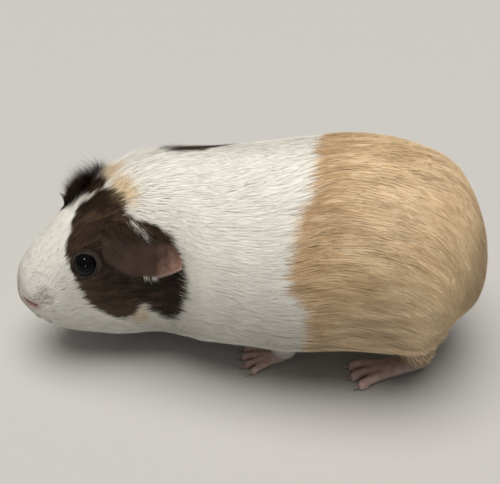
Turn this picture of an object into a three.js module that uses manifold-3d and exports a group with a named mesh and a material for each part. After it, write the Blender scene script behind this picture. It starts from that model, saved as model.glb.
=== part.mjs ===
// A guinea pig standing on all four feet, life size, head turned a little to its left.
// Millimetres; nose toward -X, the animal's left side toward -Y, +Z up, soles on Z = 0.
import * as THREE from 'three';
import { mergeVertices } from 'three/addons/utils/BufferGeometryUtils.js';
import Module from 'manifold-3d';

const bodyLength = 225;      // nose to rump, over the coat
const headTurn = 24;         // degrees the head is turned toward the left flank
const turnStart = 98;        // distance behind the nose where the neck begins to bend
const turnEnd = 40;          // distance behind the nose where the bend is complete
const turnPivot = 60;        // distance behind the nose of the vertical axis it turns on
const cut = 0.3;             // gap between neighbouring parts
const degree = Math.PI / 180;

// Sections of the body from muzzle to rump: back line (x, z), belly line (x, z),
// half width, and how far the widest level sags below the middle of the section.
const sections = [
  [-0.7, 36.1, -0.7, 36.1, 0.0, 0.0],        // between the nostrils
  [1.2, 48.4, 4.7, 27.6, 12.4, 0.0],         // bridge of the nose to upper lip
  [7.2, 57.9, 12.8, 19.9, 18.1, 0.03],       // whisker pads
  [15.8, 66.6, 22.6, 14.0, 23.0, 0.06],
  [27.1, 77.1, 35.5, 11.0, 27.2, 0.1],       // forehead to jaw
  [40.4, 86.4, 49.0, 9.0, 32.0, 0.12],       // crown, cheeks
  [56.0, 93.5, 62.0, 8.5, 37.0, 0.12],       // nape
  [74.0, 98.0, 77.0, 9.0, 42.0, 0.1],
  [94.0, 101.5, 94.0, 10.0, 46.5, 0.08],     // shoulders
  [114.0, 104.0, 114.0, 11.5, 50.0, 0.08],
  [136.0, 107.5, 136.0, 11.5, 53.0, 0.1],    // barrel
  [157.0, 111.0, 159.6, 12.6, 52.7, 0.06],   // loin, highest and widest
  [182.7, 108.2, 186.0, 14.2, 51.2, 0.04],   // thighs
  [207.4, 97.8, 195.0, 16.8, 45.8, 0.06],
  [220.8, 73.1, 205.6, 23.8, 30.3, 0.03],
  [224.7, 51.5, 215.3, 29.2, 16.5, 0.0],
  [222.5, 38.0, 222.5, 38.0, 0.0, 0.0],      // low at the back, where a tail would be
];

// Soft swellings on both sides: section, degrees from the back line, spread in each, share.
const swellings = [
  { at: 1.9, angle: 96, along: 0.8, around: 32, share: 0.07 },    // whisker pad
  { at: 4.6, angle: 118, along: 1.1, around: 28, share: 0.05 },   // cheek
  { at: 3.5, angle: 88, along: 0.7, around: 24, share: -0.05 },   // hollow below the eye
  { at: 12.2, angle: 112, along: 1.0, around: 30, share: 0.03 },  // thigh
];

const eye = { at: 4.07, angle: 51.5, radius: 5.9, sink: 2.8 };
// Front and back corner of each ear, in sections, at its root and at its rim. The root lies angle degrees
// from the back line at the front and tilt more at the back, and the rim hangs drop degrees below it.
const ears = {
  left: { front: [4.95, 4.85], back: [6.6, 7.75], angle: 35, tilt: 10, drop: 30, lift: 7.0, thick: 1.4 },
  right: { front: [5.0, 4.95], back: [6.0, 6.7], angle: 37, tilt: 12, drop: 26, lift: 6.5, thick: 1.4 },
};

const forefoot = {
  heel: [21, 19], toe: [-1, 26], width: 5.2, height: 6.2, toes: 4, toeLength: 10, toeRadius: 1.9, fan: 15,
};
const hindfoot = {
  heel: [88, 18], toe: [52, 32], width: 5.6, height: 7.2, toes: 3, toeLength: 13, toeRadius: 2.5, fan: 13,
};
const claw = { length: 3.6, radius: 1.0 };

const wasm = await Module();
wasm.setup();

// ---------------------------------------------------------------- body surface
// Cubic through four numbers, t from the second to the third.
function blend(a, b, c, d, t) {
  const out = (c - a) / 2, into = (d - b) / 2;
  return (2 * t ** 3 - 3 * t ** 2 + 1) * b + (t ** 3 - 2 * t ** 2 + t) * out
    + (3 * t ** 2 - 2 * t ** 3) * c + (t ** 3 - t ** 2) * into;
}

// Past either pole the section is the neighbour upside down, so the ends are round.
function sectionRow(i) {
  const last = sections.length - 1;
  if (i >= 0 && i <= last) return sections[i];
  const [xt, zt, xb, zb, w, sag] = sections[i < 0 ? 1 : last - 1];
  return [xb, zb, xt, zt, -w, sag];
}

function section(u) {
  const i = Math.min(Math.max(Math.floor(u), 0), sections.length - 2);
  const rows = [i - 1, i, i + 1, i + 2].map(sectionRow);
  return sections[0].map((_, k) => blend(rows[0][k], rows[1][k], rows[2][k], rows[3][k], u - i));
}

// Turns the head about a vertical axis in the neck, easing in along the neck.
function turnHead(x, y, z) {
  const t = Math.min(Math.max((turnStart - x) / (turnStart - turnEnd), 0), 1);
  const a = headTurn * degree * t * t * (3 - 2 * t);
  const dx = x - turnPivot;
  const turnedX = turnPivot + dx * Math.cos(a) - y * Math.sin(a);
  const turnedY = y * Math.cos(a) + dx * Math.sin(a);
  return new THREE.Vector3(turnedX - bodyLength / 2, turnedY, z);
}

// A point on the coat: u counts sections from the muzzle, angle is from the back line
// (positive toward the right flank), grow thickens the body all round.
function bodyPoint(u, angle, grow = 0) {
  const [xt, zt, xb, zb, w, sag] = section(u);
  const c = Math.cos(angle), s = Math.sin(angle);
  const away = Math.abs(Math.atan2(s, c)) / degree;
  let swell = 1;
  for (const b of swellings) {
    swell += b.share * Math.exp(-(((u - b.at) / b.along) ** 2) - ((away - b.angle) / b.around) ** 2);
  }
  const high = Math.hypot(xt - xb, zt - zb) / 2;
  const rise = (c - sag * s * s) * swell * (1 + grow / Math.max(high, 1));
  return turnHead((xt + xb) / 2 + (xt - xb) / 2 * rise, (w + grow) * s * swell,
    (zt + zb) / 2 + (zt - zb) / 2 * rise);
}

function bodyNormal(u, angle) {
  const along = bodyPoint(u + 0.05, angle).sub(bodyPoint(u - 0.05, angle));
  const around = bodyPoint(u, angle + 0.03).sub(bodyPoint(u, angle - 0.03));
  return around.cross(along).normalize().negate();
}

// ---------------------------------------------------------------- closed surfaces
function shell(vertices, faces) {
  const geometry = new THREE.BufferGeometry();
  geometry.setAttribute('position', new THREE.Float32BufferAttribute(vertices.flatMap((v) => [v.x, v.y, v.z]), 3));
  let volume = 0;
  for (const [a, b, c] of faces) volume += vertices[a].dot(vertices[b].clone().cross(vertices[c]));
  geometry.setIndex(faces.flatMap(([a, b, c]) => (volume < 0 ? [a, c, b] : [a, b, c])));
  return geometry;
}

// Rings of points joined side to side, with a fan closing each end.
function closedRings(rings) {
  const around = rings[0].length;
  const vertices = rings.flat();
  const faces = [];
  const at = (i, j) => i * around + (j % around);
  for (let i = 0; i < rings.length - 1; i++) {
    for (let j = 0; j < around; j++) {
      faces.push([at(i, j), at(i + 1, j), at(i + 1, j + 1)], [at(i, j), at(i + 1, j + 1), at(i, j + 1)]);
    }
  }
  for (const [i, flip] of [[0, false], [rings.length - 1, true]]) {
    const centre = vertices.length;
    vertices.push(rings[i].reduce((sum, v) => sum.add(v), new THREE.Vector3()).divideScalar(around));
    for (let j = 0; j < around; j++) {
      faces.push(flip ? [at(i, j), centre, at(i, j + 1)] : [at(i, j), at(i, j + 1), centre]);
    }
  }
  return shell(vertices, faces);
}

function steps(from, to, count) {
  return Array.from({ length: count + 1 }, (_, i) => from + (to - from) * i / count);
}

function ring(count, point) {
  return Array.from({ length: count }, (_, j) => point(j / count * 2 * Math.PI));
}

// A round-ended limb along a smooth path, its section an oval of the given half sizes.
function limb(path, halves, count = 8, around = 12, flatEnd = false) {
  const curve = new THREE.CatmullRomCurve3(path.map((p) => new THREE.Vector3(...p)), false, 'centripetal');
  const rings = steps(0.004, flatEnd ? 1 : 0.996, count).map((t) => {
    const centre = curve.getPoint(t);
    const ahead = curve.getTangent(t);
    const side = new THREE.Vector3(0, 0, 1).cross(ahead).setLength(1);
    const up = ahead.clone().cross(side);
    const k = t * (halves.length - 1), i = Math.min(Math.floor(k), halves.length - 2);
    const [wide, tall] = [0, 1].map((n) => halves[i][n] + (halves[i + 1][n] - halves[i][n]) * (k - i));
    const end = flatEnd ? Math.min(t * 6, 1) : Math.min(t * 6, (1 - t) * 6, 1);
    const round = Math.sqrt(Math.max(1 - (1 - end) ** 2, 0.02));
    return ring(around, (a) => centre.clone().addScaledVector(side, wide * round * Math.cos(a))
      .addScaledVector(up, tall * round * Math.sin(a)));
  });
  return closedRings(rings);
}

// ---------------------------------------------------------------- joining and cutting
function toSolid(geometry) {
  const plain = geometry.clone();
  plain.deleteAttribute('normal');
  plain.deleteAttribute('uv');
  const merged = mergeVertices(plain, 1e-4);
  return new wasm.Manifold(new wasm.Mesh({
    numProp: 3,
    vertProperties: new Float32Array(merged.attributes.position.array),
    triVerts: new Uint32Array(merged.index.array),
  }));
}

function toGeometry(solid) {
  const mesh = solid.getMesh();
  const geometry = new THREE.BufferGeometry();
  geometry.setAttribute('position', new THREE.Float32BufferAttribute(mesh.vertProperties, 3));
  geometry.setIndex(new THREE.BufferAttribute(mesh.triVerts, 1));
  return geometry;
}

function ball(x, y, z, radii, across = 16, high = 10) {
  const geometry = new THREE.SphereGeometry(1, across, high);
  geometry.scale(...radii);
  geometry.translate(x, y, z);
  return toSolid(geometry);
}

const group = new THREE.Group();

function add(name, solid, colour, roughness = 0.9) {
  const geometry = solid.isBufferGeometry ? solid : toGeometry(solid);
  const flat = geometry.index ? geometry.toNonIndexed() : geometry;
  flat.computeVertexNormals();
  const mesh = new THREE.Mesh(flat, new THREE.MeshStandardMaterial({ color: colour, roughness }));
  mesh.name = name;
  group.add(mesh);
}

// ---------------------------------------------------------------- eyes and head
function eyeCentre(side, sink = eye.sink) {
  const angle = side * eye.angle * degree;
  return bodyPoint(eye.at, angle).addScaledVector(bodyNormal(eye.at, angle), -sink);
}

function bodyPart(from, to, perSection, around) {
  const count = Math.max(Math.round((to - from) * perSection), 2);
  return toSolid(closedRings(steps(from, to, count).map((u) => ring(around, (a) => bodyPoint(u, a)))));
}

function makeHead() {
  let head = bodyPart(0.03, 6.3, 3.6, 36);
  for (const side of [-1, 1]) {
    const { x, y, z } = eyeCentre(side);
    head = head.subtract(ball(x, y, z, Array(3).fill(eye.radius + cut), 14, 9));
    const nostril = bodyPoint(1.1, side * 75 * degree);
    head = head.subtract(ball(nostril.x, nostril.y, nostril.z, [1.6, 1.3, 0.9], 6, 4));
  }
  const lip = [-104, -128, 180, 128, 104].map((a) => bodyPoint(1.32, a * degree).toArray());
  return head.subtract(toSolid(limb(lip, [[0.7, 0.7], [0.9, 0.9], [0.7, 0.7]], 7, 5)));
}

// ---------------------------------------------------------------- ears
// A petal draped over the side of the head: across from front to back edge, down from root to rim.
function earPoint(side, across, down, level) {
  const ear = side < 0 ? ears.left : ears.right;
  const corner = 1 - (across < 0 ? 0.4 * across ** 4 : 0.36 * across ** 2);
  const spread = Math.sin(down * Math.PI / 2);
  const [front, back] = [ear.front, ear.back].map(([root, rim]) => root + (rim - root) * spread);
  const u = front + (back - front) * (across + 1) / 2;
  const angle = side * (ear.angle + ear.tilt * (across + 1) / 2 + ear.drop * down * corner) * degree;
  const fold = 2.2 * Math.exp(-(((across + 1) / 0.3) ** 2)) * Math.sin(Math.PI * down);
  const lift = cut + ear.lift * down * (1 - 0.35 * down) + fold;
  return bodyPoint(u, angle).addScaledVector(bodyNormal(u, angle), lift + level);
}

function makeEar(side) {
  const { thick } = side < 0 ? ears.left : ears.right;
  const rings = steps(-1, 1, 10).map((across) => {
    const edge = Math.sqrt(Math.max(1 - across ** 6, 0.04));
    const outer = steps(0, 1, 5).map((d) => earPoint(side, across, d, thick * edge * (1 - 0.5 * d)));
    const inner = steps(1, 0, 5).map((d) => earPoint(side, across, d, 0));
    return [...outer, ...inner];
  });
  return toSolid(closedRings(rings));
}

// ---------------------------------------------------------------- legs, feet, claws
const floor = new THREE.BoxGeometry(400, 400, 20);
floor.translate(0, 0, -10);
const belowFloor = toSolid(floor);

// Toes fan out from the ball of the foot; each is a knuckled finger with a claw beyond its tip.
function toeLine(foot, side, index, shift) {
  const heel = new THREE.Vector2(foot.heel[0] + shift, side * foot.heel[1]);
  const tip = new THREE.Vector2(foot.toe[0] + shift, side * foot.toe[1]);
  const ahead = tip.clone().sub(heel).normalize();
  const across = new THREE.Vector2(-ahead.y, ahead.x);
  const place = index - (foot.toes - 1) / 2;
  const turned = ahead.clone().rotateAround(new THREE.Vector2(), place * foot.fan * degree);
  const root = tip.clone().addScaledVector(ahead, -foot.toeLength * 1.3)
    .addScaledVector(across, place * foot.toeRadius * 1.3);
  const end = root.clone().addScaledVector(turned, foot.toeLength * (1.3 - 0.08 * place ** 2));
  return { root, end, turned };
}

function makeFoot(foot, side, shift) {
  const heel = [foot.heel[0] + shift, side * foot.heel[1]];
  const ball0 = [0, 1].map((k) => [foot.toe[0] + shift, side * foot.toe[1]][k]);
  const length = Math.hypot(ball0[0] - heel[0], ball0[1] - heel[1]);
  const part = 1 - foot.toeLength * 0.75 / length;
  const mid = heel.map((h, k) => h + (ball0[k] - h) * part);
  const half = foot.height / 2;
  let solid = toSolid(limb([[...heel, half * 0.95], [...mid.map((m, k) => (m + heel[k]) / 2), half * 0.85],
    [...mid, half * 0.7]], [[foot.width * 0.8, half], [foot.width, half * 0.95], [foot.width, half * 0.8]], 6, 10));
  for (let i = 0; i < foot.toes; i++) {
    const { root, end } = toeLine(foot, side, i, shift);
    const knuckle = root.clone().lerp(end, 0.5);
    const r = foot.toeRadius;
    solid = solid.add(toSolid(limb([[root.x, root.y, r * 0.9], [knuckle.x, knuckle.y, r * 1.25],
      [end.x, end.y, r * 0.75]], [[r, r * 0.95], [r * 0.95, r * 1.1], [r * 0.72, r * 0.8]], 6, 7)));
  }
  return solid.subtract(belowFloor);
}

function makeClaw(foot, side, index, shift) {
  const { end, turned } = toeLine(foot, side, index, shift);
  const r = claw.radius;
  const z = foot.toeRadius * 0.75;
  const points = [0.25, claw.length * 0.5, claw.length].map((d, k) => {
    const p = end.clone().addScaledVector(turned, d + 0.15);
    return [p.x, p.y, [z, z * 0.98, z * 0.5][k]];
  });
  return toSolid(limb(points, [[r * 0.8, r], [r * 0.6, r * 0.8], [r * 0.25, r * 0.3]], 3, 5));
}

const bodyGrown = toSolid(closedRings(steps(0.03, 15.97, 48).map((u) => ring(36, (a) => bodyPoint(u, a, cut)))));

// The part of a leg that shows between the coat of the belly and the foot.
function makeLeg(path, halves, footSolid) {
  return toSolid(limb(path, halves, 6, 12)).subtract(bodyGrown).subtract(footSolid).subtract(belowFloor);
}

// ---------------------------------------------------------------- assembly
const white = 0xe9e3d3, gold = 0xc9a26d, brown = 0x33241d, skin = 0xb78f7e, horn = 0x8f7f70;
const gap = cut / 19;      // the cut expressed in sections

add('head', makeHead(), white);
add('neck', bodyPart(6.3 + gap, 8, 2.4, 36), white);
add('chest', bodyPart(8 + gap, 10.1, 2.4, 36), white);
add('barrel', bodyPart(10.1 + gap, 12.2, 2.4, 36), gold);
add('rump', bodyPart(12.2 + gap, 15.97, 3.1, 36), gold);

for (const [name, side] of [['left', -1], ['right', 1]]) {
  const { x, y, z } = eyeCentre(side);
  add(`eye_${name}`, ball(x, y, z, Array(3).fill(eye.radius), 14, 9), 0x0b0a0b, 0.1);
  add(`ear_${name}`, makeEar(side), brown);
  for (const [limbName, foot, shift] of [['fore', forefoot, side > 0 ? -7 : 0], ['hind', hindfoot, side > 0 ? 4 : 0]]) {
    const solid = makeFoot(foot, side, shift);
    add(`${limbName}foot_${name}`, solid, skin);
    const grown = toSolid(limb([[foot.heel[0] + shift + 1, side * foot.heel[1], foot.height / 2],
      [foot.heel[0] + shift - 13, side * (foot.heel[1] + 4), foot.height / 2]],
    [[foot.width + 2, foot.height / 2 + cut], [foot.width + 2, foot.height / 2 + cut]], 6, 12));
    const heelX = foot.heel[0] + shift - (limbName === 'fore' ? 3 : 6);
    const up = [[heelX, side * (foot.heel[1] + 1), foot.height * 0.7], [heelX + 1, side * (foot.heel[1] + 3), 13],
      [heelX - 1, side * (foot.heel[1] + 7), 26]];
    const thick = limbName === 'fore' ? 6.5 : 8.5;
    add(`${limbName}leg_${name}`, makeLeg(up, [[thick * 0.8, thick * 0.8], [thick, thick], [thick + 2, thick + 2]], grown), white);
    for (let i = 0; i < foot.toes; i++) {
      add(`claw_${limbName}_${name}_${i + 1}`, makeClaw(foot, side, i, shift), horn, 0.5);
    }
  }
}

// The origin is on the floor under the middle of the animal.
const extent = new THREE.Box3().setFromObject(group);
const middle = extent.getCenter(new THREE.Vector3());
for (const mesh of group.children) mesh.geometry.translate(-middle.x, -middle.y, -extent.min.z);

export default group;
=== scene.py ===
import math

import bpy
import numpy as np
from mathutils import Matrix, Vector


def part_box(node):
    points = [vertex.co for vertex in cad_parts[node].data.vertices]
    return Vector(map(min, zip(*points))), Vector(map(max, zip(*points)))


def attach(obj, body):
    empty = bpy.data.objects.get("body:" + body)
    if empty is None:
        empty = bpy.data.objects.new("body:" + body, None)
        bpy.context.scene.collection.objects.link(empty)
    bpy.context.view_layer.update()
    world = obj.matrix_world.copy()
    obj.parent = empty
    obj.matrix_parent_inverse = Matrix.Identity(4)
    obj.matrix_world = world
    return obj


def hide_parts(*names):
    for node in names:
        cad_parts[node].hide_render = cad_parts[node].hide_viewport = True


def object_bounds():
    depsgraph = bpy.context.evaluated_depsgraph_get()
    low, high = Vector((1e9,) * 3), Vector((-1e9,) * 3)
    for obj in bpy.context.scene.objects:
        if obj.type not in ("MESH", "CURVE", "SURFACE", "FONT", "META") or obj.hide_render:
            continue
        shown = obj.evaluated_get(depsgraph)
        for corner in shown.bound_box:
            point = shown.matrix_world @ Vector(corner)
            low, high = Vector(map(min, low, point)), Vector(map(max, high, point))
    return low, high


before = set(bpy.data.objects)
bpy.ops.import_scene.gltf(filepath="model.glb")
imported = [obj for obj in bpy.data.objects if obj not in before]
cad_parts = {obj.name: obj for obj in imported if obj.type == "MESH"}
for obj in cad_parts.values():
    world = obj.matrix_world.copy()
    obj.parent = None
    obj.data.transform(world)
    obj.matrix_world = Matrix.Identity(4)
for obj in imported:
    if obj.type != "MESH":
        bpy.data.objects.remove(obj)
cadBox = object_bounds()
chance = np.random.default_rng(11)
mm = 0.001
print("frame loaded")

# Body form, in millimetres: the solids' own sections, their outline being the tips of the coat.
body = {
    "length": 225.0,
    "headTurn": 24.0, "turnStart": 98.0, "turnEnd": 40.0, "turnPivot": 60.0,
    # back line (x, z), belly line (x, z), half width, sag of the widest level
    "sections": np.array([
        [-0.7, 36.1, -0.7, 36.1, 0.0, 0.0],
        [1.2, 48.4, 4.7, 27.6, 12.4, 0.0],
        [7.2, 57.9, 12.8, 19.9, 18.1, 0.03],
        [15.8, 66.6, 22.6, 14.0, 23.0, 0.06],
        [27.1, 77.1, 35.5, 11.0, 27.2, 0.1],
        [40.4, 86.4, 49.0, 9.0, 32.0, 0.12],
        [56.0, 93.5, 62.0, 8.5, 37.0, 0.12],
        [74.0, 98.0, 77.0, 9.0, 42.0, 0.1],
        [94.0, 101.5, 94.0, 10.0, 46.5, 0.08],
        [114.0, 104.0, 114.0, 11.5, 50.0, 0.08],
        [136.0, 107.5, 136.0, 11.5, 53.0, 0.1],
        [157.0, 111.0, 159.6, 12.6, 52.7, 0.06],
        [182.7, 108.2, 186.0, 14.2, 51.2, 0.04],
        [207.4, 97.8, 195.0, 16.8, 45.8, 0.06],
        [220.8, 73.1, 205.6, 23.8, 30.3, 0.03],
        [224.7, 51.5, 215.3, 29.2, 16.5, 0.0],
        [222.5, 38.0, 222.5, 38.0, 0.0, 0.0],
    ]),
    # section, degrees from the back line, spread in each, share
    "swellings": [
        (1.9, 96, 0.8, 32, 0.07), (4.6, 118, 1.1, 28, 0.05),
        (3.5, 88, 0.7, 24, -0.05), (12.2, 112, 1.0, 30, 0.03),
    ],
    "firstSection": 0.03, "lastSection": 15.97,
}


# A step from 0 at low to 1 at high, eased as three squares less two cubes.
def ease(low, high, x):
    t = np.clip((x - low) / (high - low), 0, 1)
    return t * t * (3 - 2 * t)


# The section at u: a cubic through four neighbouring rows; past either pole the neighbour is upside down.
def sectionAt(u):
    rows = body["sections"]
    first, last = rows[1][[2, 3, 0, 1, 4, 5]], rows[-2][[2, 3, 0, 1, 4, 5]]
    first[4], last[4] = -first[4], -last[4]
    rows = np.vstack([first, rows, last])
    i = np.clip(np.floor(u).astype(int), 0, len(rows) - 4)
    t = (u - i)[..., None]
    a, b, c, d = rows[i], rows[i + 1], rows[i + 2], rows[i + 3]
    return ((2 * t**3 - 3 * t**2 + 1) * b + (t**3 - 2 * t**2 + t) * (c - a) / 2
            + (3 * t**2 - 2 * t**3) * c + (t**3 - t**2) * (d - b) / 2)


# Millimetres behind the nose turned about an upright axis in the neck, by an angle that eases in along it.
def turnHead(x, y, z):
    t = np.clip((body["turnStart"] - x) / (body["turnStart"] - body["turnEnd"]), 0, 1)
    a = math.radians(body["headTurn"]) * t * t * (3 - 2 * t)
    dx = x - body["turnPivot"]
    turnedX = body["turnPivot"] + dx * np.cos(a) - y * np.sin(a)
    return np.stack([turnedX, y * np.cos(a) + dx * np.sin(a), z], -1)


# Coat outline: middle of the section, plus its half height times the sagging cosine, plus its half width
# times the sine, both swollen by a bell round each swelling.
def outlineRaw(u, degrees):
    u, degrees = np.broadcast_arrays(np.asarray(u, float), np.asarray(degrees, float))
    xt, zt, xb, zb, w, sag = np.moveaxis(sectionAt(u), -1, 0)
    c, s = np.cos(np.radians(degrees)), np.sin(np.radians(degrees))
    away = np.degrees(np.abs(np.arctan2(s, c)))
    swell = np.ones_like(u)
    for at, angle, along, around, share in body["swellings"]:
        swell = swell + share * np.exp(-((u - at) / along) ** 2 - ((away - angle) / around) ** 2)
    rise = (c - sag * s * s) * swell
    return turnHead((xt + xb) / 2 + (xt - xb) / 2 * rise, w * s * swell, (zt + zb) / 2 + (zt - zb) / 2 * rise)


# The solids' own place in the frame: the rump's back end, the barrel's top and the middle between its sides.
probe = outlineRaw(np.linspace(10, 15.9, 240)[:, None], np.linspace(-180, 180, 241)[None])
origin = np.array([
    probe[..., 0].max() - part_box("rump")[1].x / mm,
    (probe[..., 1].max() + probe[..., 1].min()) / 2
    - (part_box("barrel")[1].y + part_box("barrel")[0].y) / 2 / mm,
    probe[..., 2].max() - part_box("barrel")[1].z / mm,
])


# The coat outline in the frame: the raw outline less the place of its origin.
def outline(u, degrees):
    return outlineRaw(u, degrees) - origin


# The outward direction: across the differences of the outline along and around.
def outward(u, degrees):
    along = outlineRaw(u + 0.04, degrees) - outlineRaw(u - 0.04, degrees)
    around = outlineRaw(u, degrees + 1.5) - outlineRaw(u, degrees - 1.5)
    n = np.cross(along, around)
    return n / np.maximum(np.linalg.norm(n, axis=-1, keepdims=True), 1e-9)


print("body form ready")

# Skin: lies inside the outline by the depth of the coat.
skin = {
    "headRows": 170, "trunkRows": 80, "headEnd": 6.3, "around": 240, "footVoxel": 0.5,
    "muzzleDepth": 0.5, "faceDepth": 0.9, "crownDepth": 1.8, "trunkDepth": 3.3,
}
eye = {
    "section": 4.07, "degrees": 51.5, "radius": 5.9, "sink": 2.8, "openAngle": 62.0, "cornerReach": 6.0,
    "upperDrop": 4.0, "lidWide": 0.48, "lidHigh": 0.45, "rim": 0.3, "rimAway": 2.2, "rimWide": 1.6,
    "bulge": 0.02, "bulgeWide": 0.6,
    # hair keeps this far from the eye's axis, wherever it is within reach of the eye's centre
    "clear": 6.6, "reach": 14,
}
nose = {
    "slit": ((0.78, 68.0), (1.42, 80.0)), "slitDeep": 1.7, "slitWide": 0.7,
    "rim": 0.5, "rimAway": 1.7, "rimWide": 0.7,
    "mouthMiddle": 1.3, "mouthCorner": 1.85, "cornerDegrees": 108.0, "mouthDeep": 1.3, "mouthWide": 0.085,
    # lips: height; the share, the place before or behind the groove and the spread of each
    "lip": 0.7, "lips": ((1.0, -0.28, 0.22), (0.8, 0.26, 0.2)), "splitDeep": 0.8,
    "browHigh": 0.5, "hollowDeep": 0.5,
}


# Depth of the coat over the skin: shallow on the muzzle, deepening in three eases toward the trunk, and less
# at the rump's end and under the belly.
def coatDepth(u, degrees):
    depth = skin["muzzleDepth"] + (skin["faceDepth"] - skin["muzzleDepth"]) * ease(1.2, 3.0, u)
    depth = depth + (skin["crownDepth"] - skin["faceDepth"]) * ease(4.2, 5.6, u)
    depth = depth + (skin["trunkDepth"] - skin["crownDepth"]) * ease(5.6, 8.5, u)
    return depth * (1 - 0.3 * ease(14.6, 15.8, u)) * (1 - 0.35 * ease(125, 160, np.abs(degrees)))


# A bell of 1 at one place, falling with the squares of the scaled distances along and around.
def bell(u, degrees, at, angle, along, around):
    return np.exp(-((u - at) / along) ** 2 - ((degrees - angle) / around) ** 2)


# A bell of 1 where x is 0, falling with the square of x over its spread.
def hump(x, spread):
    return np.exp(-((x / spread) ** 2))


# Distance of points from the nearer nostril, a slit between its two ends.
def slitAway(points):
    aways = []
    for side in (-1, 1):
        a, b = (outline(at, side * degrees) for at, degrees in nose["slit"])
        along = np.clip(((points - a) @ (b - a)) / ((b - a) @ (b - a)), 0, 1)[..., None]
        aways.append(np.linalg.norm(points - a - along * (b - a), axis=-1))
    return np.minimum(*aways)


# The line of the mouth: the section where the lips meet, drawing back from the middle to the corners as a
# square.
def mouthAt(side):
    part = np.clip((180 - side) / (180 - nose["cornerDegrees"]), 0, 1.3)
    return nose["mouthMiddle"] + (nose["mouthCorner"] - nose["mouthMiddle"]) * part**2


# Relief of the bare form: nostril slits with a rim, the groove of the mouth between full lips, the split
# of the upper lip, the brow over the eye and the hollow before it.
def relief(u, degrees):
    side = np.abs(degrees)
    away = slitAway(outline(u, degrees))
    height = -nose["slitDeep"] * hump(away, nose["slitWide"])
    height = height + nose["rim"] * hump(away - nose["rimAway"], nose["rimWide"])
    gap = u - mouthAt(side)
    parted = ease(nose["cornerDegrees"] - 6, nose["cornerDegrees"] + 12, side)
    height = height - nose["mouthDeep"] * hump(gap, nose["mouthWide"]) * parted
    lips = sum(share * hump(gap - at, spread) for share, at, spread in nose["lips"])
    height = height + nose["lip"] * lips * parted
    split = hump(180 - side, 8) * ease(0.4, 0.8, u) * (1 - ease(1.2, 1.5, u))
    height = height - nose["splitDeep"] * split
    brow, hollow = bell(u, side, 4.55, 30, 0.8, 12), bell(u, side, 3.55, 62, 0.4, 16)
    return height + nose["browHigh"] * brow - nose["hollowDeep"] * hollow


# Skin point: the outline moved inward by the coat's depth and outward by the relief.
def skinPoint(u, degrees):
    return outline(u, degrees) + outward(u, degrees) * (relief(u, degrees) - coatDepth(u, degrees))[..., None]


# Corners of all faces in one flat list, and how many corners each face has.
def flatFaces(faces):
    corners = np.concatenate([group.ravel() for group in faces])
    counts = np.concatenate([np.full(len(group), group.shape[1]) for group in faces])
    return corners.astype(np.int32), counts.astype(np.int32)


# A mesh from vertices in millimetres and arrays of faces; attributes are per point or per corner.
def makePiece(name, points, faces, materials, slots=None, pointValues=None, cornerValues=None, maps=None):
    mesh = bpy.data.meshes.new(name)
    points = np.asarray(points, np.float32).reshape(-1, 3) * mm
    corners, counts = flatFaces(faces)
    mesh.vertices.add(len(points))
    mesh.loops.add(len(corners))
    mesh.polygons.add(len(counts))
    mesh.vertices.foreach_set("co", points.ravel())
    mesh.loops.foreach_set("vertex_index", corners)
    mesh.polygons.foreach_set("loop_start", np.concatenate([[0], np.cumsum(counts)[:-1]]).astype(np.int32))
    mesh.polygons.foreach_set("loop_total", counts)
    mesh.polygons.foreach_set("use_smooth", np.ones(len(counts), bool))
    for material in materials:
        mesh.materials.append(material)
    if slots is not None:
        mesh.polygons.foreach_set("material_index", np.asarray(slots, np.int32))
    for domain, group in (("POINT", pointValues), ("CORNER", cornerValues)):
        for key, values in (group or {}).items():
            wide = np.ndim(values) == 2
            layer = mesh.attributes.new(key, "FLOAT_VECTOR" if wide else "FLOAT", domain)
            layer.data.foreach_set("vector" if wide else "value", np.asarray(values, np.float32).ravel())
    for key, values in (maps or {}).items():
        mesh.uv_layers.new(name=key).data.foreach_set("uv", np.asarray(values, np.float32).ravel())
    mesh.update()
    mesh.validate()
    piece = bpy.data.objects.new(name, mesh)
    bpy.context.scene.collection.objects.link(piece)
    return piece


# Faces of a grid of rows by columns: quads between neighbours, the columns closing on themselves if round.
def gridFaces(rows, columns, closedRound=True, flip=False):
    i, j = np.meshgrid(np.arange(rows - 1), np.arange(columns if closedRound else columns - 1), indexing="ij")
    k = (j + 1) % columns
    here, below = i * columns, (i + 1) * columns
    quads = np.stack([here + j, below + j, below + k, here + k], -1).reshape(-1, 4)
    return quads[:, ::-1] if flip else quads


# A closed round surface: the grid of quads with a fan to the mean point of the first and of the last row.
def closedGrid(points, flip=False):
    rows, columns = points.shape[:2]
    flat = np.vstack([points.reshape(-1, 3), points[0].mean(0), points[-1].mean(0)])
    j = np.arange(columns)
    k = (j + 1) % columns
    lastRow, middle = (rows - 1) * columns, np.full(columns, rows * columns)
    caps = np.vstack([np.stack([j, k, middle], -1), np.stack([k + lastRow, j + lastRow, middle + 1], -1)])
    return flat, gridFaces(rows, columns, True, flip), (caps[:, ::-1] if flip else caps)


# Faces of a folded sheet: the grid wound round, each end closed by a strip from the outer face to the inner.
def foldedGrid(points, flip=False):
    rows, columns = points.shape[:2]
    j = np.arange(columns // 2 - 1)
    start = np.stack([j, j + 1, columns - 2 - j, columns - 1 - j], -1)
    caps = np.vstack([start, start[:, ::-1] + (rows - 1) * columns])
    grid = gridFaces(rows, columns, True, flip)
    return points.reshape(-1, 3), np.vstack([grid, caps[:, ::-1] if flip else caps])


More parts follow.
